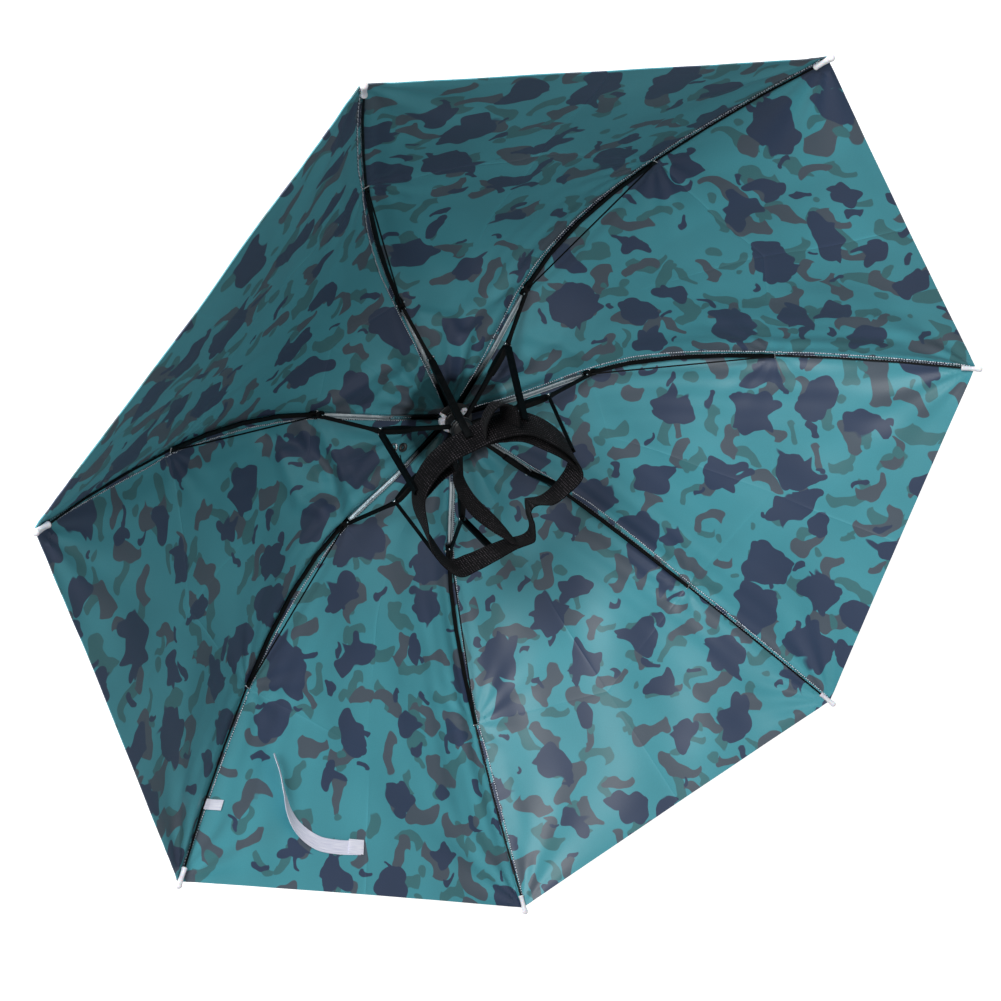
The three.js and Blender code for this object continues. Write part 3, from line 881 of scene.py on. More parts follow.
@dataclass(frozen=True)
class PaleFloor:
    """A white table that lifts its own shade a little, as a lit studio sweep does.

    Args:
        colour: Of the table.
        glow: How strongly it lights itself.
    """

    colour: tuple[float, float, float, float] = (0.93, 0.93, 0.93, 1.0)
    glow: float = 0.75

    def material(self, name: str) -> bpy.types.Material:
        """Build the finish on the floor's own coordinates.

        Args:
            name: The material's name.

        Returns:
            The material.
        """
        nodes = Nodes(name)
        place = nodes.add("TexCoord").outputs["Object"]
        cloud = nodes.add("TexNoise", Vector=place, Scale=3.0, Detail=2.0).outputs["Fac"]
        tone = nodes.mix(nodes.span(cloud, 0.3, 0.7), self.colour, (0.91, 0.91, 0.92, 1.0))
        return nodes.surface(
            Base_Color=tone, Roughness=0.9, Emission_Color=(1.0, 1.0, 1.0, 1.0), Emission_Strength=self.glow
        )


@dataclass
class Finishes:
    """Every finish of the hat, built once.

    Args:
        packing: The packing creases of the cloth.
    """

    packing: tuple[tuple[float, float, float], ...] = ()
    cloth: bpy.types.Material = field(init=False)
    lining_cloth: bpy.types.Material = field(init=False)
    steel: bpy.types.Material = field(init=False)
    rib_steel: bpy.types.Material = field(init=False)
    black_steel: bpy.types.Material = field(init=False)
    white_plastic: bpy.types.Material = field(init=False)
    black_plastic: bpy.types.Material = field(init=False)
    webbing: bpy.types.Material = field(init=False)
    ribbon: bpy.types.Material = field(init=False)
    white_ribbon: bpy.types.Material = field(init=False)
    thread: bpy.types.Material = field(init=False)
    dark_thread: bpy.types.Material = field(init=False)

    def __post_init__(self) -> None:
        """Build the materials."""
        self.cloth = PrintedCloth().material("printed_cloth", self.packing)
        self.lining_cloth = PrintedCloth(roughness=0.6).material("printed_cloth_seam")
        self.steel = Steel(srgb(190, 196, 200), srgb(150, 156, 160), 0.26, 1.0).material("bright_steel")
        # The inner ribs carry painted shade within 80 mm of the hub.
        rib_steel = Steel(srgb(196, 207, 212), srgb(180, 192, 198), 0.3, 1.0, 0.5, 80 * MM)
        self.rib_steel = rib_steel.material("rib_steel")
        self.black_steel = Steel(srgb(5, 6, 7), srgb(18, 20, 22), 0.5, 0.0, 0.14).material("black_steel")
        white_plastic = Plastic(srgb(240, 240, 244), srgb(222, 222, 232), 0.3, 0.15)
        self.white_plastic = white_plastic.material("white_plastic")
        self.black_plastic = Plastic(srgb(18, 19, 20), srgb(28, 29, 31), 0.42).material("black_plastic")
        self.webbing = Webbing().material("webbing")
        self.ribbon = Ribbon().material("satin_ribbon")
        self.white_ribbon = Ribbon(srgb(240, 240, 250), srgb(216, 217, 236)).material("doubled_ribbon")
        self.thread = Thread().material("light_thread")
        # The seam stitches are black thread; their light dots are painted highlights of its gloss.
        dark_thread = Thread(srgb(168, 176, 190), srgb(14, 16, 20), 3.1 * MM, 0.45)
        self.dark_thread = dark_thread.material("dark_thread")


# The hat's lines


def rib_angle(rib: int) -> float:
    """Return the way a rib points, seen from above."""
    return -math.pi / 2 - 2 * math.pi * (rib - 1) / RIB_COUNT


def spun(points: np.ndarray, angle: float) -> np.ndarray:
    """Turn points about Z by an angle."""
    c, s = math.cos(angle), math.sin(angle)
    return points @ np.array([[c, s, 0], [-s, c, 0], [0, 0, 1]])


@dataclass(frozen=True)
class SeamLine:
    """The line of a seam and its rib from the hub to the tip, in the rib's own plane.

    Args:
        rim: Hub axis to the seam's end at the hem.
        depth: From the cloth at the hub up to the seam's end.
        hub_height: The cloth's height at the hub.
        hole: Hub axis to the cloth's inner edge.
        inner_joint: Hub axis to the rivet between inner and middle rib.
        outer_joint: Hub axis to the rivet between middle and outer rib.
        reach: Radii of the curve's points, as shares of the rim.
        rise: Heights of the curve's points, as shares of the depth.
    """

    rim: float = 470 * MM
    depth: float = 250 * MM
    hub_height: float = 12 * MM
    hole: float = 8.3 * MM / math.cos(HALF_PANEL)
    inner_joint: float = 157 * MM
    outer_joint: float = 329 * MM
    reach: tuple[float, ...] = (0, 0.065, 0.15, 0.23, 0.33, 0.43, 0.54, 0.65, 0.75, 0.87, 1)
    rise: tuple[float, ...] = (0, 0.013, 0.041, 0.049, 0.055, 0.098, 0.2, 0.349, 0.515, 0.74, 1)

    def curve(self, radius: np.ndarray | float) -> np.ndarray:
        """Work out the height at a radius: cubic pieces whose slope at a point is the mean of its sides.

        Args:
            radius: From the hub axis.

        Returns:
            Heights in metres.
        """
        reach, rise = np.array(self.reach), np.array(self.rise)
        slope = np.diff(rise) / np.diff(reach)
        tangent = np.concatenate([slope[:1], (slope[:-1] + slope[1:]) / 2, slope[-1:]])
        x = np.asarray(radius, dtype=float) / self.rim
        k = np.clip(np.searchsorted(reach, x) - 1, 0, len(reach) - 2)
        width = reach[k + 1] - reach[k]
        t = (x - reach[k]) / width
        start = rise[k] * (1 + 2 * t) * (1 - t) ** 2 + tangent[k] * width * t * (1 - t) ** 2
        end = rise[k + 1] * t * t * (3 - 2 * t) - tangent[k + 1] * width * t * t * (1 - t)
        return self.hub_height + self.depth * (start + end)

    def stations(self) -> np.ndarray:
        """Work out the radii at which a rib bends: even steps between two joints.

        Returns:
            Radii in metres.
        """
        joints = (self.hole, self.inner_joint, self.outer_joint, self.rim)
        spans = zip(joints[:-1], joints[1:], (4, 4, 3))
        return np.array([a + (b - a) * k / n for a, b, n in spans for k in range(n)] + [self.rim])

    def chord(self, radius: np.ndarray | float) -> np.ndarray:
        """Return the height of the rib's own line, straight between two bends."""
        stations = self.stations()
        return np.interp(radius, stations, self.curve(stations))

    def slope(self, radius: np.ndarray | float) -> np.ndarray:
        """Work out the curve's rise for each metre out, between two places a millimetre apart.

        Args:
            radius: From the hub axis.

        Returns:
            Slopes.
        """
        step = 0.5 * MM
        radius = np.asarray(radius, dtype=float)
        return (self.curve(radius + step) - self.curve(radius - step)) / (2 * step)

    def on_rib(self, rib: int, radius: float, across: float, height: float) -> np.ndarray:
        """Return a point on a rib.

        Args:
            rib: The rib's number.
            radius: From the hub axis.
            across: To the rib's left, seen from the hub.
            height: Off the cloth's middle, square to it.

        Returns:
            The point in metres.
        """
        step = 2 * MM
        slope = float(self.chord(radius + step) - self.chord(radius - step)) / (2 * step)
        up = np.array([-slope, 0, 1]) / math.hypot(1, slope)
        at = np.array([radius, across, float(self.chord(radius))]) + up * height
        return spun(at, rib_angle(rib))


@dataclass
class Canopy:
    """Seven printed panels with their hem, the seams between them and the seams' stitching.

    Args:
        line: The seams' line.
        thickness: Of the cloth.
        hem_width: Of the folded hem.
        hem_hollow: How far the hem is drawn in between two ribs.
        crown: How far the middle of a panel is drawn up towards the frame.
        rows: Spans of a panel from hub to hem.
        columns: Spans of a panel from seam to seam.
        flange: Greatest width of a seam's folded allowance.
        apex: Where a panel's packing creases meet, from the hub axis.
        seed: Of the random folds.
        roof: Height of the middle crease.
        pleat: Height of the pleats at the hub.
        wave: Height of a slow wave.
        pucker: Height of the puckers at the stitches.
        print_step: How far the print shifts from one panel to the next.
        ridges: Crumples, each as panel, height in millimetres, width in millimetres, and a line of radius in
            millimetres and place across.
    """

    line: SeamLine
    thickness: float = 0.5 * MM
    hem_width: float = 8 * MM
    hem_hollow: float = 0.5 * MM
    crown: float = 6 * MM
    rows: int = 190
    columns: int = 130
    flange: float = 7.5 * MM
    apex: float = 366 * MM
    seed: int = 11
    roof: float = 1.6 * MM
    pleat: float = 2.6 * MM
    wave: float = 0.75 * MM
    pucker: float = 0.22 * MM
    print_step: float = 0.83
    ridges: tuple[tuple[int, float, float, tuple[tuple[float, float], ...]], ...] = (
        (6, 6.5, 10, ((221, -0.81), (187, -0.63), (163, -0.16), (162, 0.33), (160, 0.84))),
        (6, -4.5, 8, ((157, -0.85), (150, -0.32), (141, 0.41), (139, 0.76))),
        (6, -5.5, 11, ((206, -0.53), (205, -0.15), (199, 0.18), (176, 0.51))),
        (6, -3, 7, ((177, -0.83), (179, -0.44), (170, 0.05))),
        (7, 4, 9, ((150, 0.8), (135, 0.3), (120, -0.2))),
        (7, -3.5, 8, ((112, 0.9), (102, 0.2), (96, -0.5))),
        (1, 4, 9, ((170, -0.8), (150, -0.4), (120, -0.1))),
        (1, -3.5, 8, ((140, 0.7), (128, 0.2), (112, 0))),
        (2, 3.5, 9, ((165, -0.7), (150, -0.1), (130, 0.3))),
    )

    def way_out(self, radius: np.ndarray | float) -> np.ndarray:
        """Work out the length of cloth from the hub along a panel's middle to a radius.

        It is the sum of the steps, each the root of the squares of its level part and of its rise.

        Args:
            radius: From the hub axis, measured on the seams.

        Returns:
            Lengths in metres.
        """
        steps = np.linspace(0, self.line.rim, 600)
        slope = self.line.slope(steps)
        pace = np.sqrt(math.cos(HALF_PANEL) ** 2 + slope**2)
        length = np.concatenate([[0], np.cumsum((pace[1:] + pace[:-1]) / 2 * np.diff(steps))])
        return np.interp(radius, steps, length)

    def packing(self) -> tuple[tuple[float, float, float], ...]:
        """Return the packing creases: down the middle, and from the apex to the outer and the inner joints.

        Returns:
            For each the start, along and across shares of its straight line on the flat cloth.
        """
        creases = [(0.0, 0.0, 1.0)]
        inner, outer = self.line.inner_joint, self.line.outer_joint
        for joint, meet in ((outer, self.apex), (inner, inner * 1.3)):
            rise = float(self.way_out(meet) - self.way_out(joint))
            run = joint * math.sin(HALF_PANEL)
            size = math.hypot(rise, run)
            creases.append((float(self.way_out(meet)) * run / size, run / size, rise / size))
        return tuple(creases)

    def crumples(self, panel: int, radius: np.ndarray, across: np.ndarray) -> np.ndarray:
        """Work out a panel's crumples: the cloth rises along short lines and falls off as a bell beside them.

        Args:
            panel: The panel's number.
            radius: From the hub axis.
            across: From -1 at rib n + 1 to 1 at rib n.

        Returns:
            Metres towards the frame.
        """
        wide = math.sin(HALF_PANEL)
        place = np.stack([radius, across * radius * wide], axis=-1)
        total = np.zeros(place.shape[:-1])
        for number, height, width, line in self.ridges:
            if number != panel:
                continue
            knots = np.array(line) * [MM, 1]
            points = np.stack([knots[:, 0], knots[:, 1] * knots[:, 0] * wide], axis=-1)
            away = np.full(total.shape, 1.0)
            for start, end in zip(points[:-1], points[1:]):
                step = end - start
                share = np.clip((place - start) @ step / (step @ step), 0, 1)
                away = np.minimum(away, np.linalg.norm(place - start - share[..., None] * step, axis=-1))
            total += height * MM * np.exp(-((away / (width * MM)) ** 2))
        return total * (1 - across**6)

    def folds(self, panel: int, radius: np.ndarray, across: np.ndarray) -> np.ndarray:
        """Work out how far the cloth stands off its plain shape.

        The sum of the crown, which falls to nothing at the seams, a roof along the middle crease, folds that
        fan out of both tips and both outer joints, folds along the seams, pleats at the hub, slow waves,
        puckers at the stitches and the crumples. Near the hem the cloth is taut, and all folds shrink there,
        the fans least.

        Args:
            panel: The panel's number, which seeds its waves.
            radius: From the hub axis.
            across: From -1 at rib n + 1 to 1 at rib n.

        Returns:
            Metres towards the frame.
        """
        draw = np.random.default_rng(self.seed * 100 + panel)
        half = radius * math.sin(HALF_PANEL)
        off_seam = (1 - np.abs(across)) * half
        free = 1 - across**2
        share = np.clip((radius - 60 * MM) / (self.line.rim - 60 * MM), 0, 1)
        total = self.crown * np.sin(math.pi * np.clip(share * 0.85, 0, 1)) ** 0.8 * free
        total += self.roof * np.clip((radius - 0.2) / 0.2, 0, 1) * (1 - np.abs(across)) ** 2
        fans = np.zeros_like(total)
        for side in (-1, 1):
            fan_folds = ((self.line.rim, 85 * MM, 3.6 * MM), (self.line.outer_joint, 50 * MM, 1.5 * MM))
            for joint, reach, size in fan_folds:
                out = (joint - radius) * 1.25
                aside = (1 - side * across) * half
                away = np.hypot(out, aside)
                turn = np.arctan2(aside, out)
                phase = draw.uniform(0, 2 * math.pi)
                fan = np.sin(turn * draw.uniform(9, 13) + phase) * np.sin(np.clip(turn, 0, math.pi)) ** 0.5
                fans += size * fan * np.exp(-away / reach) * (1 - np.exp(-away / (12 * MM)))
            near = np.clip(1 - side * across, 0, 2) * half
            for length, pitch, size in ((30 * MM, 21 * MM, 1.3 * MM), (60 * MM, 47 * MM, 1.7 * MM)):
                wander = 0.4 * np.sin(radius / draw.uniform(0.03, 0.06) + draw.uniform(0, 6))
                wave = np.sin(2 * math.pi * near / pitch * (1 + 0.15 * wander) + wander + draw.uniform(0, 6))
                strength = 0.55 + 0.45 * np.sin(radius / draw.uniform(0.05, 0.09) + draw.uniform(0, 6))
                total += size * strength * wave * np.exp(-near / length) * np.clip(near / (6 * MM), 0, 1)
        pleats = np.cos(across * math.pi * 3.0 + draw.uniform(0, 6)) * free
        total += self.pleat * pleats * np.exp(-(((radius - 85 * MM) / (50 * MM)) ** 2))
        for _ in range(6):
            u, v = draw.normal(0, 1, 2)
            size = math.hypot(u, v)
            wave = draw.uniform(0.07, 0.16)
            turns = 2 * math.pi * (radius * u + across * half * v) / size / wave
            total += self.wave * free * np.sin(turns + draw.uniform(0, 6))
        pucker = np.sin(2 * math.pi * radius / (9 * MM) + draw.uniform(0, 6))
        total += self.pucker * pucker * np.exp(-off_seam / (7 * MM)) * (1 - np.exp(-off_seam / (2 * MM)))
        total += self.crumples(panel, radius, across)
        taut = 1 - 0.75 * np.clip((radius - self.line.rim + 45 * MM) / (45 * MM), 0, 1) ** 2
        near_hub = np.clip((radius - self.line.hole) / (20 * MM), 0, 1)
        return (total * taut + fans * (0.35 + 0.65 * taut)) * near_hub

    def on_panel(
        self, panel: int, radius: np.ndarray, across: np.ndarray, height: np.ndarray | float = 0
    ) -> np.ndarray:
        """Return points of a panel.

        A point lies straight across between two seams, plus its folds and its height along the slope's
        normal.

        Args:
            panel: The panel's number.
            radius: From the hub axis, measured on the seams.
            across: From -1 at rib n + 1 to 1 at rib n.
            height: Off the cloth's middle, towards the frame.

        Returns:
            Array of points in metres.
        """
        radius, across = np.broadcast_arrays(np.asarray(radius, float), np.asarray(across, float))
        x = radius * math.cos(HALF_PANEL)
        y = across * (radius * math.sin(HALF_PANEL) - 0.05 * MM)
        slope = self.line.slope(radius)
        size = np.hypot(1, slope)
        turn = np.arctan2(y, x)
        lift = (self.folds(panel, radius, across) + height) / size
        out = -slope * lift
        z = self.line.curve(radius) + lift
        at = np.stack([x + out * np.cos(turn), y + out * np.sin(turn), z], axis=-1)
        return spun(at, rib_angle(panel) - HALF_PANEL)

    def panel(self, number: int, finishes: Finishes) -> tuple[bpy.types.Object, tuple[float, float], float]:
        """Build one panel with its folded hem.

        Args:
            number: The panel's number.
            finishes: The finishes.

        Returns:
            The panel, its flat width and length, and its flat area.
        """
        share = np.linspace(0, 1, self.rows + 1)[:, None]
        across = np.linspace(-1, 1, self.columns + 1)[None, :]
        edge = self.line.rim - self.hem_hollow * (1 - across**2)
        radius = self.line.hole + (edge - self.line.hole) * share
        hem = np.clip((radius - edge + self.hem_width) / (1.2 * MM), 0, 1)
        middle = self.on_panel(number, radius, across)
        flat = np.stack([self.way_out(radius), across * radius * math.sin(HALF_PANEL)], axis=-1)
        thickness = self.thickness * (1 + 0.9 * hem)
        shape = sheet(middle, thickness, flat)
        shift = np.full(len(shape.points), self.print_step * number + 0.4)
        values = {"print_shift": shift}
        stands_for = (f"canopy_panel_{number}",)
        cloth = piece(f"cloth_panel_{number}", shape, finishes.cloth, stands_for, values)
        pace = np.linspace(0, self.line.rim - self.hem_hollow * 0.6, 300)
        widths = 2 * pace * math.sin(HALF_PANEL)
        area = float(((widths[1:] + widths[:-1]) / 2 * np.diff(self.way_out(pace))).sum())
        size = (2 * self.line.rim * math.sin(HALF_PANEL), float(self.way_out(self.line.rim)))
        return cloth, size, area

    def seam(self, rib: int, finishes: Finishes) -> list[bpy.types.Object]:
        """Build one seam's folded allowance and its two rows of stitches.

        The allowance lies on the panel to the rib's left. Its width swells between two joints and is least at
        them.

        Args:
            rib: The rib that the seam lies under.
            finishes: The finishes.

        Returns:
            The allowance and the stitches.
        """
        draw = np.random.default_rng(self.seed * 10 + rib)
        panel = rib - 1 if rib > 1 else RIB_COUNT
        radius = np.linspace(26 * MM, self.line.rim - 3 * MM, 320)
        knots = [0.026, 0.09, 0.157, 0.21, 0.27, 0.329, 0.36, 0.42, 0.47]
        widths = self.flange * np.array([0.3, 0.6, 0.75, 1.0, 0.95, 0.65, 0.75, 0.6, 0.3])
        widths = widths * draw.uniform(0.85, 1.15, len(knots))
        width = np.interp(radius, knots, widths)
        inner = -1.2 * MM + 0 * radius
        steps = np.linspace(0, 1, 5)
        aside = inner[:, None] + (width - inner)[:, None] * steps[None, :]
        half = radius * math.sin(HALF_PANEL)
        across = -1 + aside / half[:, None]
        rest = self.thickness / 2 + 0.25 * MM
        lift = rest + 0.25 * MM * np.sin(radius / 0.009 + draw.uniform(0, 6))[:, None] * steps
        middle = self.on_panel(panel, radius[:, None] + 0 * across, np.maximum(across, -1.0), lift)
        under = across < -1
        spill = np.where(under, (across + 1) * half[:, None], 0)
        middle = middle + spill[..., None] * spun(np.array([0.0, 1.0, 0.0]), rib_angle(rib))
        flat = np.stack([self.way_out(radius)[:, None] + 0 * aside, aside + half[:, None]], axis=-1)
        shape = sheet(middle, 0.45 * MM, flat)
        shift = np.full(len(shape.points), self.print_step * rib + 5.1)
        allowance = piece(
            f"seam_allowance_{rib}", shape, finishes.lining_cloth, values={"print_shift": shift}
        )
        rows = []
        for name, place, finish, size in (
            ("edge_stitches", 1.0, finishes.thread, 0.5 * MM),
            ("seam_stitches", 0.42, finishes.dark_thread, 0.35 * MM),
        ):
            fine = np.linspace(radius[0], radius[-1], 1000)
            zig = 0.2 * MM * np.sin(2 * math.pi * fine / (2.6 * MM))
            at = np.interp(fine, radius, inner + (width - inner) * place) + zig
            share = np.clip(-1 + at / (fine * math.sin(HALF_PANEL)), -1, 1)
            path = self.on_panel(panel, fine, share, rest + 0.45 * MM)
            side, up = framed(path, np.array([0.0, 0.0, 1.0]))
            stitches = tube(carried(path, side, up, ring(size, 5)))
            rows.append(piece(f"{name}_{rib}", stitches, finish))
        return [allowance, *rows]

    def build(self, finishes: Finishes) -> None:
        """Args:
            finishes: The finishes.
        """
        for number in range(1, RIB_COUNT + 1):
            cloth, size, area = self.panel(number, finishes)
            trim = self.seam(number, finishes)


@dataclass
class Hardware:
    """Ribs, levers, legs, crown hub, runner, rib tips and the rivets that join them.

    Args:
        line: The ribs' line.
        runner_length: Of the runner along its axis.
        groove_share: How far up the runner the groove for the levers' ring lies.
        knuckle_radius: Hub axis to the knuckles.
        knuckle_height: Height of the knuckles of a level runner.
        knuckle_rise: How much higher they sit towards +X.
        tip_inset: How far a rib cap's mouth lies inside the hem.
        tip_axis: Height of the cap's axis above the cloth's middle.
        link_at: The small link on leg 7.
        washer_at: The oval washer beside it.
        wire_ends: Both ends of the wire below them.
    """

    line: SeamLine
    runner_length: float = 24 * MM
    groove_share: float = 0.7
    knuckle_radius: float = 100 * MM
    knuckle_height: float = 51.5 * MM
    knuckle_rise: float = 8.5 * MM
    tip_inset: float = 9 * MM
    tip_axis: float = 3.7 * MM
    link_at: tuple[float, float, float] = (0.0768, -0.0556, 0.0843)
    washer_at: tuple[float, float, float] = (0.0691, -0.0526, 0.0883)
    wire_ends: tuple[tuple[float, float, float], ...] = ((0.0753, -0.0485, 0.0906), (0.0798, -0.0256, 0.1088))
    notch_bottom: float = field(init=False)
    runner_bottom: float = field(init=False)

    def __post_init__(self) -> None:
        """Work out the heights of notch and runner from the cloth at the hub."""
        self.notch_bottom = float(self.line.chord(15 * MM)) + 0.8 * MM
        self.runner_bottom = self.notch_bottom + 7.3 * MM

    def knuckle(self, rib: int) -> np.ndarray:
        """Return a knuckle's centre."""
        height = self.knuckle_height + self.knuckle_rise * math.cos(rib_angle(rib))
        return spun(np.array([self.knuckle_radius, 0, height]), rib_angle(rib))

    def dress_nodes(self, finishes: Finishes) -> None:
        """Give the CAD nodes that keep their shape their finishes.

        Args:
            finishes: The finishes.
        """
        finish = {
            "inner_rib": finishes.rib_steel,
            "middle_rib": finishes.black_steel,
            "outer_rib": finishes.black_steel,
            "lever": finishes.black_steel,
            "control_wire": finishes.black_steel,
            "leg": finishes.black_steel,
        }
        for kind, material in finish.items():
            for rib in range(1, RIB_COUNT + 1):
                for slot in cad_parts[f"{kind}_{rib}"].material_slots:
                    slot.material = material

    def crown_hub(self, finishes: Finishes) -> bpy.types.Object:
        """Build the crown cap, its neck, the slotted notch and the post.

        The profile is turned about the hub axis. The radius of the notch's rim drops by a quarter in seven
        slots, one for each rib.

        Args:
            finishes: The finishes.

        Returns:
            The piece.
        """
        top = self.notch_bottom + 7 * MM
        post_top = self.runner_bottom + 20.7 * MM
        rows = [
            (0.5, 0.0), (15.0, 0.0), (16.9, 0.5), (17.8, 1.6), (18.0, 3.0), (18.0, 6.2),
            (17.4, 7.4), (15.2, 9.6), (13.8, 10.9), (12.6, 11.2), (8.0, 11.2),
        ]
        profile = [(r * MM, z * MM) for r, z in rows]
        profile += [(8 * MM, self.notch_bottom), (14.2 * MM, self.notch_bottom)]
        profile += [(15 * MM, self.notch_bottom + 0.8 * MM)]
        profile += [(15 * MM, top - 1 * MM), (14 * MM, top), (4 * MM, top), (4 * MM, post_top - 0.8 * MM)]
        profile += [(3.2 * MM, post_top), (0.3 * MM, post_top)]
        line = np.array(profile)
        turn = np.arange(168) * 2 * math.pi / 168
        off = np.abs((turn - rib_angle(1) + HALF_PANEL) % (2 * HALF_PANEL) - HALF_PANEL)
        slot = np.clip(1 - (off - math.radians(6)) / math.radians(3), 0, 1)
        in_notch = (line[:, 0] > 12 * MM) & (line[:, 1] > self.notch_bottom - 0.1 * MM)
        radius = line[:, :1] - in_notch[:, None] * slot[None, :] * 4.2 * MM
        height = np.broadcast_to(line[:, 1:], radius.shape)
        points = np.stack([radius * np.cos(turn), radius * np.sin(turn), height], axis=-1)
        shape, white = tube(points), finishes.white_plastic
        return piece("crown_cap_and_notch", shape, white, ("crown_hub",), crease=35)

    def runner(self, finishes: Finishes) -> bpy.types.Object:
        """Build the runner: a sleeve with a grooved collar at the levers and a rounded roof, all turned.

        Args:
            finishes: The finishes.

        Returns:
            The piece.
        """
        low, high = self.runner_bottom, self.runner_bottom + self.runner_length
        middle = low + self.runner_length * self.groove_share
        rows = [
            (0.3, high - 3 * MM), (4.3, high - 3 * MM), (4.3, low), (10.2, low), (10.8, low + 0.6 * MM),
            (10.8, low + 3 * MM), (10.2, low + 3.5 * MM), (10.2, low + 7 * MM), (10.8, low + 7.6 * MM),
            (10.8, middle - 4.2 * MM), (12.0, middle - 3 * MM), (12.0, middle - 1.3 * MM),
            (11.1, middle - 0.9 * MM), (11.1, middle + 0.9 * MM), (12.0, middle + 1.3 * MM),
            (12.0, middle + 3 * MM), (10.8, middle + 4.2 * MM), (10.8, high - 1.6 * MM),
            (10.0, high - 0.5 * MM), (8.6, high), (0.3, high),
        ]
        profile = np.array([(r * MM, z) for r, z in rows])
        shape = turned(profile, np.zeros(3), np.array([0.0, 0.0, 1.0]), 64)
        black = finishes.black_plastic
        return piece("runner_sleeve", shape, black, ("runner",), crease=35)

    def lever_ring(self, finishes: Finishes) -> bpy.types.Object:
        """Build the wire ring in the runner's groove that the levers turn on.

        Args:
            finishes: The finishes.

        Returns:
            The piece.
        """
        turn = np.arange(72) * 2 * math.pi / 72
        spoke = np.stack([np.cos(turn), np.sin(turn), 0 * turn], axis=-1)
        height = self.runner_bottom + self.runner_length * self.groove_share
        path = spoke * 11.6 * MM + [0, 0, height]
        up = np.broadcast_to([0.0, 0.0, 1.0], path.shape)
        shape = tube(carried(path, spoke, up, ring(0.45 * MM, 8)), closed=True)
        return piece("lever_ring_wire", shape, finishes.steel)

    def rib_tip(self, rib: int, finishes: Finishes) -> bpy.types.Object:
        """Build the cap on a rib's end: a collar at its mouth, a waist and a ball.

        Args:
            rib: The rib's number.
            finishes: The finishes.

        Returns:
            The piece.
        """
        end = self.line.on_rib(rib, self.line.rim - self.tip_inset, 0, self.tip_axis)
        inside = self.line.on_rib(rib, self.line.rim - self.tip_inset - 5 * MM, 0, self.tip_axis)
        along = (end - inside) / np.linalg.norm(end - inside)
        turn = np.linspace(0, math.pi / 2, 8)[:-1]
        bore = [(0.1, 8.3), (1.5, 8.3), (1.5, 0.0)]
        neck = [(2.4, 0.0), (2.8, 0.4), (2.8, 1.6), (2.45, 2.1), (2.3, 8.5), (2.6, 13.5), (3.0, 16.6)]
        ball = [(3.1 * math.cos(t), 17.2 + 3.1 * math.sin(t)) for t in turn]
        profile = np.array([*bore, *neck, *ball, (0.1, 20.3)]) * MM
        shape = turned(profile, end + along * GAP, along, 28)
        white, stands_for = finishes.white_plastic, (f"rib_tip_{rib}",)
        return piece(f"rib_cap_{rib}", shape, white, stands_for, crease=50)

    def rivets(self, rib: int, finishes: Finishes) -> bpy.types.Object:
        """Build a rib's rivets: at both joints, beside the inner one and at the knuckle.

        Args:
            rib: The rib's number.
            finishes: The finishes.

        Returns:
            The piece.
        """
        axis = spun(np.array([0.0, 1.0, 0.0]), rib_angle(rib))
        inner = self.line.on_rib(rib, self.line.inner_joint, 0, 2.6 * MM)
        beside = self.line.on_rib(rib, self.line.inner_joint - 5 * MM, 0, 7.1 * MM)
        outer = self.line.on_rib(rib, self.line.outer_joint, 0, 2.3 * MM)
        parts = [
            pin(inner, axis, 8.8 * MM, 0.9 * MM, 1.8 * MM),
            pin(beside, axis, 3.6 * MM, 0.7 * MM, 1.3 * MM),
            pin(outer, axis, 4.8 * MM, 0.7 * MM, 1.2 * MM),
            pin(self.knuckle(rib), axis, 6.6 * MM, 1.1 * MM, 2.0 * MM),
        ]
        return piece(f"rivets_{rib}", joined(parts), finishes.steel)

    def lever_plate(self, rib: int, finishes: Finishes) -> bpy.types.Object:
        """Build the folded plate that stiffens a lever below its knuckle: a sleeve that tapers to its ends.

        Args:
            rib: The rib's number.
            finishes: The finishes.

        Returns:
            The piece.
        """
        knuckle = self.knuckle(rib)
        root = spun(np.array([11.4 * MM, 0, self.runner_bottom + 16.8 * MM]), rib_angle(rib))
        share = np.linspace(0.6, 0.97, 9)[:, None]
        path = root + (knuckle - root) * share
        side, up = framed(path, np.array([0.0, 0.0, 1.0]))
        height = 4.2 * MM + 4.2 * MM * np.sin(math.pi * np.linspace(0.12, 0.95, 9)) ** 0.8
        section = np.stack([rounded_bar(6.4 * MM, float(size), 1.2 * MM) for size in height])
        shape = tube(carried(path, side, up, section))
        return piece(f"lever_plate_{rib}", shape, finishes.black_steel)

    def notch_cover_and_painted_shade(self, finishes: Finishes) -> None:
        """Build the black cover over most of the notch, whose outer part reaching to about 20 mm from the
        axis is painted shade over the ribs' ends, and the white plug with its dark bore on top of it.

        Args:
            finishes: The finishes.
        """
        turn = np.radians(np.linspace(58, 297, 64))
        spoke = np.stack([np.cos(turn), np.sin(turn), 0 * turn], axis=-1)
        height = self.notch_bottom + 7.9 * MM
        up = np.broadcast_to([0.0, 0.0, 1.0], spoke.shape)
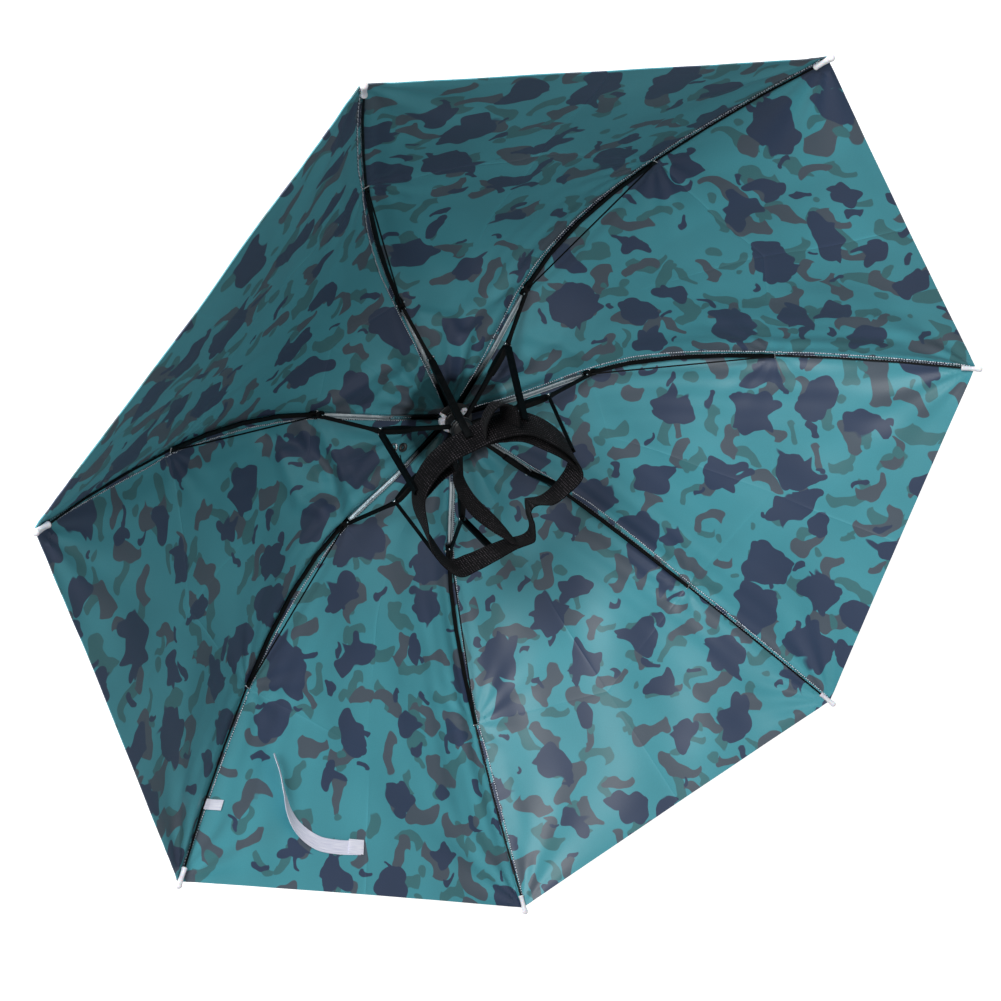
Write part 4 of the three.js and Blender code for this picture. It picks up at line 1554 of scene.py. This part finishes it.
        # The cover runs from about 11.5 to 20 mm off the axis; beyond about 16 mm it is a dark rim put there
        # as painted shade.
        section = rounded_bar(8.6 * MM, 1.2 * MM, 0.5 * MM)
        ring_part = tube(carried(spoke * 15.8 * MM + [0, 0, height], spoke, up, section))
        piece("notch_cover_and_painted_shade", ring_part, finishes.black_plastic)
        upright = np.array([0.0, 0.0, 1.0])
        foot = np.array([14.2 * MM * math.cos(3.5), 14.2 * MM * math.sin(3.5), height + 0.9 * MM])
        rows = [(0.1, 0), (3.6, 0), (3.9, 0.4), (3.9, 2.2), (3.3, 3.0), (1.2, 3.0), (1.1, 1.4), (0.1, 1.4)]
        plug = turned(np.array(rows) * MM, foot, upright, 6)
        piece("notch_plug", plug, finishes.white_plastic)
        rows = [(0.1, 1.6), (1.0, 1.6), (1.0, 2.2), (0.1, 2.2)]
        bore = turned(np.array(rows) * MM, foot, upright, 12)
        piece("plug_bore", bore, finishes.black_plastic)

    def spring_link(self, finishes: Finishes) -> None:
        """Build the small steel link, the black oval washer and the wire beside them on leg 7.

        Link and washer are round wires carried along ellipses. The wire is a line bent by half a sine.

        Args:
            finishes: The finishes.
        """
        axis = np.array([0.35, -0.72, 0.6])
        axis /= np.linalg.norm(axis)
        side = np.cross(axis, [0.0, 0.0, 1.0])
        side /= np.linalg.norm(side)
        other = np.cross(axis, side)
        for name, centre, wide, high, wire, finish, slot in (
            ("leg_link", self.link_at, 3.6, 2.8, 1.4, finishes.steel, Slot.STEEL),
            ("leg_washer", self.washer_at, 3.0, 2.2, 2.0, finishes.black_plastic, Slot.BLACK_PLASTIC),
        ):
            turn = np.arange(36) * 2 * math.pi / 36
            spoke = np.cos(turn)[:, None] * side * wide + np.sin(turn)[:, None] * other * high
            outward = spoke / np.linalg.norm(spoke, axis=1, keepdims=True)
            up = np.broadcast_to(axis, spoke.shape)
            loop = carried(np.array(centre) + spoke * MM, outward, up, ring(wire * MM, 8))
            piece(name, tube(loop, closed=True), finish)
        ends = np.array(self.wire_ends)
        share = np.linspace(0, 1, 14)[:, None]
        bend = np.array([1.6, -1.6, 0.8]) * MM * np.sin(math.pi * share)
        path = ends[0] + (ends[1] - ends[0]) * share + bend
        side, up = framed(path, np.array([0.3, 0.2, 1.0]))
        wire_shape = tube(carried(path, side, up, ring(0.5 * MM, 8)))
        piece("leg_wire", wire_shape, finishes.black_steel)

    def build(self, finishes: Finishes) -> None:
        """Dress the CAD nodes and build the turned pieces, plates and rivets.

        Args:
            finishes: The finishes.
        """
        self.dress_nodes(finishes)
        self.crown_hub(finishes)
        self.runner(finishes)
        self.lever_ring(finishes)
        self.notch_cover_and_painted_shade(finishes)
        self.spring_link(finishes)
        for rib in range(1, RIB_COUNT + 1):
            self.rib_tip(rib, finishes)
            self.lever_plate(rib, finishes)
            self.rivets(rib, finishes)


def smooth_loop(rows: np.ndarray, place: np.ndarray) -> np.ndarray:
    """Run a smooth closed curve through rows, in cubic pieces.

    The slope at a row is half the step between the rows before and after it.

    Args:
        rows: Array of (rows, values).
        place: Where on the loop, counted in rows.

    Returns:
        Array of (places, values).
    """
    count = len(rows)
    k = np.floor(place).astype(int)
    t = (place - k)[:, None]
    before, here, after, beyond = (rows[(k + d) % count] for d in (-1, 0, 1, 2))
    leave, arrive = (after - before) / 2, (beyond - here) / 2
    cube = 2 * here - 2 * after + leave + arrive
    square = -3 * here + 3 * after - 2 * leave - arrive
    return ((cube * t + square) * t + leave) * t + here


def smooth_run(rows: np.ndarray, place: np.ndarray) -> np.ndarray:
    """Run a smooth open curve through rows, which stops at its first and last row.

    Args:
        rows: Array of (rows, values).
        place: Where on the run, counted in rows.

    Returns:
        Array of (places, values).
    """
    first, last = 2 * rows[:1] - rows[1:2], 2 * rows[-1:] - rows[-2:-1]
    longer = np.concatenate([first, rows, last])
    return smooth_loop(longer, np.clip(place, 0, len(rows) - 1 - 1e-9) + 1)


@dataclass
class HeadBand:
    """The webbing loop for the head, with its second layer, its loose tail and the pleat on it.

    Args:
        radius: What the loop's x and y are shares of.
        height: Middle of the webbing above the floor.
        width: Of the webbing.
        thickness: Of the webbing.
        layer_width: Of the second layer, as a share of the width.
        layer_swell: How far its middle stands in from the loop.
        tail_width: Of the tail, as a share of the width.
        fold_width: Of the pleat, as a share of the width.
        layer_span: Where on the loop the second layer starts and ends, counted in rows.
        tail_start: Where on the loop the tail starts, counted in rows.
        tail_end: Where on the loop the tail ends.
        loop: Rows of the loop: x and y as shares of the radius, lift and lean as shares of the width.
        tail: Rows of the tail between its ends on the loop.
        fold: Rows of the pleat beside the loop.
    """

    radius: float = 82 * MM
    height: float = 141 * MM
    width: float = 30 * MM
    thickness: float = 1.6 * MM
    layer_width: float = 0.8
    layer_swell: float = 9 * MM
    tail_width: float = 0.72
    fold_width: float = 0.85
    layer_span: tuple[float, float] = (9.1, 13.8)
    tail_start: float = 17.15
    tail_end: float = 3.3
    loop: tuple[tuple[float, float, float, float], ...] = (
        (1.06, 0.74, 0.23, 0.1), (0.83, 0.84, 0.2, 0), (0.58, 0.89, 0.17, -0.08), (0.3, 0.96, 0.08, -0.2),
        (0.02, 1.05, 0.02, -0.3), (-0.07, 0.83, -0.05, -0.15), (-0.14, 0.62, -0.1, -0.3),
        (-0.37, 0.75, -0.17, -0.2), (-0.62, 0.73, -0.23, -0.1), (-0.86, 0.6, -0.27, 0.05),
        (-0.88, 0.27, -0.3, -0.3), (-0.73, -0.11, -0.27, -0.45), (-0.49, -0.44, -0.2, -0.4),
        (-0.14, -0.64, -0.07, -0.3), (0.2, -0.72, 0.07, -0.2), (0.5, -0.75, 0.13, -0.1),
        (0.78, -0.69, 0.2, -0.05), (1.01, -0.52, 0.27, 0), (1.13, -0.19, 0.3, -0.05), (1.16, 0.26, 0.3, 0.3),
    )
    tail: tuple[tuple[float, float, float, float], ...] = (
        (0.68, -0.53, 0.05, 0), (0.5, -0.53, 0, 0.4), (0.51, -0.34, -0.05, 0.9), (0.52, -0.07, -0.1, 0.95),
        (0.48, 0.23, -0.1, 0.9), (0.37, 0.56, -0.05, 0.65),
    )
    fold: tuple[tuple[float, float, float, float], ...] = (
        (0.02, -0.7, 0.02, -0.2), (-0.09, -0.86, 0, -0.3), (-0.26, -0.94, -0.03, -0.35),
        (-0.38, -0.82, -0.08, -0.35), (-0.34, -0.57, -0.12, -0.35),
    )

    def placed(self, rows: np.ndarray) -> tuple[np.ndarray, np.ndarray]:
        """Turn rows of shares into points in metres and leans.

        Args:
            rows: Array of (rows, 4).

        Returns:
            Points of (rows, 3) and leans of (rows,).
        """
        height = self.height + rows[:, 2] * self.width
        at = np.stack([rows[:, 0] * self.radius, rows[:, 1] * self.radius, height], axis=-1)
        return at, rows[:, 3]

    def strip(
        self, rows: np.ndarray, width: float, out: np.ndarray | float, closed: bool, cup: float = 0.8 * MM
    ) -> tuple[Shape, float]:
        """Make a strip of webbing on its edge along rows.

        The way out is the way along turned right, level. The webbing stands up along Z, leaning out by its
        row's share, and is cupped: its middle lies further out than its edges by a parabola.

        Args:
            rows: Array of (sections, 4).
            width: Of the strip.
            out: How far the strip lies outside the line, everywhere or for each section.
            closed: Whether it is a loop.
            cup: How deep it is cupped.

        Returns:
            The strip and its length.
        """
        path, lean = self.placed(rows)
        if closed:
            along = np.roll(path, -1, axis=0) - np.roll(path, 1, axis=0)
        else:
            along = np.gradient(path, axis=0)
        along[:, 2] = 0
        along /= np.linalg.norm(along, axis=1, keepdims=True)
        outward = np.stack([along[:, 1], -along[:, 0], 0 * along[:, 0]], axis=-1)
        up = np.array([0.0, 0.0, 1.0]) + outward * lean[:, None]
        up /= np.linalg.norm(up, axis=1, keepdims=True)
        across = np.linspace(-0.5, 0.5, 13)
        bow = cup * (1 - 4 * across**2)
        away = np.broadcast_to(out, len(path))[:, None] + bow[None, :]
        raised = up[:, None] * (across * width)[None, :, None]
        middle = path[:, None] + raised + outward[:, None] * away[..., None]
        steps = np.linalg.norm(np.diff(path, axis=0), axis=1)
        way = np.concatenate([[0], np.cumsum(steps)])
        flat = np.stack(np.broadcast_arrays(way[:, None], (across * width)[None, :]), axis=-1)
        edge = 1 - 0.45 * np.clip((np.abs(across) - 0.42) / 0.08, 0, 1)
        shape = sheet(middle, self.thickness * np.broadcast_to(edge, middle.shape[:2]), flat, closed)
        return shape, float(way[-1])

    def build(self, finishes: Finishes) -> None:
        """Build the loop, its second layer, its tail and the pleat.

        Args:
            finishes: The finishes.
        """
        rows = np.array(self.loop)
        line = smooth_loop(rows, np.arange(0, len(rows), 1 / 18))
        shape, length = self.strip(line, self.width, 0, True)
        band = piece("webbing_band", shape, finishes.webbing, ("head_band",), crease=60)
        place = np.arange(*self.layer_span, 1 / 18)
        swell = np.sin(math.pi * (place - place[0]) / (place[-1] - place[0]))
        layer = smooth_loop(rows, place)
        inward = -self.thickness - 0.5 * MM - self.layer_swell * swell
        shape, length = self.strip(layer, self.width * self.layer_width, inward, False)
        lining = piece("webbing_inner_layer", shape, finishes.webbing, crease=60)
        ends = smooth_loop(rows, np.array([self.tail_start, self.tail_end]))
        run = np.concatenate([ends[:1], np.array(self.tail), ends[1:]])
        run[[0, -1], 3] = 0
        line = smooth_run(run, np.arange(0.08, 6.92, 1 / 18))
        shape, length = self.strip(line, self.width * self.tail_width, 0, False)
        tail = piece("webbing_tail", shape, finishes.webbing, crease=60)
        bulge = smooth_run(np.array(self.fold), np.arange(0, 4.01, 1 / 16))
        shape, length = self.strip(bulge, self.width * self.fold_width, 0, False)
        fold = piece("webbing_fold", shape, finishes.webbing, crease=60)


@dataclass
class ClosingStrap:
    """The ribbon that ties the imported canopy, sewn to a panel near its hem, and its hook patch.

    Args:
        canopy: The canopy that it lies on.
        panel: The panel's number.
        width: Of the ribbon.
        thickness: Of the ribbon.
        twist: How far its free end is turned on edge, in radians.
        route: Reach as a share of the rim, across as a share of the panel's half width towards the next rib,
            and lift off the cloth as a share of the width.
    """

    canopy: Canopy
    panel: int = 5
    width: float = 14 * MM
    thickness: float = 0.45 * MM
    twist: float = math.radians(-54)
    route: tuple[tuple[float, float, float], ...] = (
        (0.931, 0.04, 0.02), (0.933, 0.18, 0.04), (0.93, 0.31, 0.06), (0.914, 0.435, 0.1), (0.89, 0.53, 0.16),
        (0.862, 0.583, 0.24), (0.834, 0.635, 0.34), (0.804, 0.712, 0.45),
    )

    def patch(
        self,
        name: str,
        finish: bpy.types.Material,
        reach: float,
        across: float,
        size: tuple[float, float],
        lift: float,
    ) -> bpy.types.Object:
        """Lay a small oblong of ribbon on the panel, puffed up to half a millimetre by fourth powers.

        Args:
            name: The piece's name.
            finish: Its finish.
            reach: Its middle, as a share of the rim.
            across: Its middle, from -1 at the next rib to 1 at the panel's own.
            size: Length across the panel and width along it.
            lift: Off the cloth.

        Returns:
            The piece.
        """
        u, v = np.meshgrid(np.linspace(-0.5, 0.5, 13), np.linspace(-0.5, 0.5, 9), indexing="ij")
        pace = math.hypot(1, float(self.canopy.line.slope(reach * self.canopy.line.rim)))
        radius = reach * self.canopy.line.rim + v * size[1] / pace
        side = across + u * size[0] / (radius * math.sin(HALF_PANEL))
        puff = 0.5 * MM * (1 - (2 * u) ** 4) * (1 - (2 * v) ** 4)
        middle = self.canopy.on_panel(self.panel, radius, side, lift + puff)
        shape = sheet(middle, self.thickness * 1.6, np.stack([u * size[0], v * size[1]], axis=-1))
        return piece(name, shape, finish)

    def build(self, finishes: Finishes) -> None:
        """Build the ribbon, its sewn end and the hook patch.

        The ribbon is a flat strip carried along its route, and turned about it by a smooth step.

        Args:
            finishes: The finishes.
        """
        rows = np.array(self.route)
        place = np.linspace(0, len(rows) - 1, 90)
        run = smooth_run(rows, place)
        rest = self.canopy.thickness / 2 + 0.3 * MM + self.thickness
        radius = run[:, 0] * self.canopy.line.rim
        path = self.canopy.on_panel(self.panel, radius, -run[:, 1], rest + run[:, 2] * self.width)
        slope = self.canopy.line.slope(radius)
        angle = rib_angle(self.panel) - HALF_PANEL
        up = spun(np.stack([-slope, 0 * slope, 1 + 0 * slope], axis=-1), angle)
        up /= np.linalg.norm(up, axis=1, keepdims=True)
        side, up = framed(path, up)
        share = np.clip((place / place[-1] - 0.2) / 0.6, 0, 1)
        twist = self.twist * share * share * (3 - 2 * share)
        turned_side = side * np.cos(twist)[:, None] + up * np.sin(twist)[:, None]
        across = np.linspace(-0.5, 0.5, 9)
        raise_by = np.abs(np.sin(twist)) * self.width / 2
        spread = turned_side[:, None] * (across * self.width)[None, :, None]
        middle = path[:, None] + spread + (up * raise_by[:, None])[:, None]
        steps = np.concatenate([[0], np.cumsum(np.linalg.norm(np.diff(path, axis=0), axis=1))])
        flat = np.stack(np.broadcast_arrays(steps[:, None], (across * self.width)[None, :]), axis=-1)
        shape = sheet(middle, self.thickness, flat)
        strap = piece("strap_ribbon", shape, finishes.ribbon, ("closing_strap",))
        white = finishes.white_ribbon
        end = self.patch("strap_sewn_end", white, 0.93, -0.07, (17 * MM, 15 * MM), rest + 0.9 * MM)
        self.patch("hook_patch", white, 0.889, -0.955, (17 * MM, 10.5 * MM), rest + 1.4 * MM)


@dataclass
class Studio:
    """Camera, pale floor and soft light.

    Args:
        place: The camera's place.
        right: The way of the picture's right.
        up: The way of the picture's top.
        forward: The way the camera looks.
        lens: Its focal length in millimetres on a 36 mm sensor.
        sky_strength: Of the white sky.
        floor_reach: From the hat to the floor's edge.
    """

    place: tuple[float, float, float] = (0.2218, -0.8950, 1.2439)
    right: tuple[float, float, float] = (-0.8395, 0.3289, 0.4326)
    up: tuple[float, float, float] = (-0.5242, -0.6997, -0.4853)
    forward: tuple[float, float, float] = (-0.1431, 0.6342, -0.7598)
    lens: float = 53.13
    sky_strength: float = 0.34
    floor_reach: float = 8.0

    def camera(self) -> None:
        """Set up the camera at the photograph's angle."""
        data = bpy.data.cameras.new("camera")
        data.lens = self.lens
        data.sensor_width = 36
        data.clip_start = 0.05
        camera = bpy.data.objects.new("camera", data)
        right, up, forward = (Vector(way).normalized() for way in (self.right, self.up, self.forward))
        columns = [right, up, -forward]
        turn = Matrix(columns).transposed().to_4x4()
        camera.matrix_world = Matrix.Translation(Vector(self.place)) @ turn
        bpy.context.scene.collection.objects.link(camera)
        bpy.context.scene.camera = camera

    def floor(self) -> None:
        """Lay the floor at height zero."""
        size = self.floor_reach
        mesh = bpy.data.meshes.new("floor")
        corners = [(-size, -size, 0), (size, -size, 0), (size, size, 0), (-size, size, 0)]
        mesh.from_pydata(corners, [], [(0, 1, 2, 3)])
        mesh.materials.append(PaleFloor().material("pale_floor"))
        floor = bpy.data.objects.new("floor", mesh)
        bpy.context.scene.collection.objects.link(floor)

    def light(
        self, name: str, azimuth: float, elevation: float, distance: float, size: float, power: float
    ) -> None:
        """Hang an area light that points at the hat.

        Args:
            name: The light's name.
            azimuth: Where it hangs, in degrees from +X.
            elevation: Its height in degrees.
            distance: From the hat.
            size: Of its square.
            power: In watts.
        """
        data = bpy.data.lights.new(name, "AREA")
        data.energy = power
        data.size = size
        lamp = bpy.data.objects.new(name, data)
        a, e = math.radians(azimuth), math.radians(elevation)
        way = Vector((math.cos(a) * math.cos(e), math.sin(a) * math.cos(e), math.sin(e)))
        target = Vector((0, 0, 0.12))
        turn = way.to_track_quat("Z", "Y").to_matrix().to_4x4()
        lamp.matrix_world = Matrix.Translation(target + way * distance) @ turn
        bpy.context.scene.collection.objects.link(lamp)

    def build(self) -> None:
        """Set up camera, floor, lights and a white sky."""
        scene = bpy.context.scene
        scene.view_settings.view_transform = "Standard"
        self.camera()
        self.floor()
        self.light("key_light", -74, 27, 2.6, 1.2, 60)
        self.light("fill_light", 120, 70, 2.8, 2.2, 6)
        world = bpy.data.worlds.new("white_sky")
        world.use_nodes = True
        sky = world.node_tree.nodes["Background"]
        sky.inputs["Color"].default_value = (1.0, 1.0, 1.0, 1.0)
        sky.inputs["Strength"].default_value = self.sky_strength
        scene.world = world


def main() -> None:
    """Build the hat in order and the studio around it."""
    logging.basicConfig(level=logging.INFO, format="%(message)s")
    line = SeamLine()
    canopy = Canopy(line)
    finishes = Finishes(canopy.packing())
    Studio().build()
    canopy.build(finishes)
    Hardware(line).build(finishes)
    HeadBand().build(finishes)
    ClosingStrap(canopy).build(finishes)


if __name__ == "__main__":
    main()
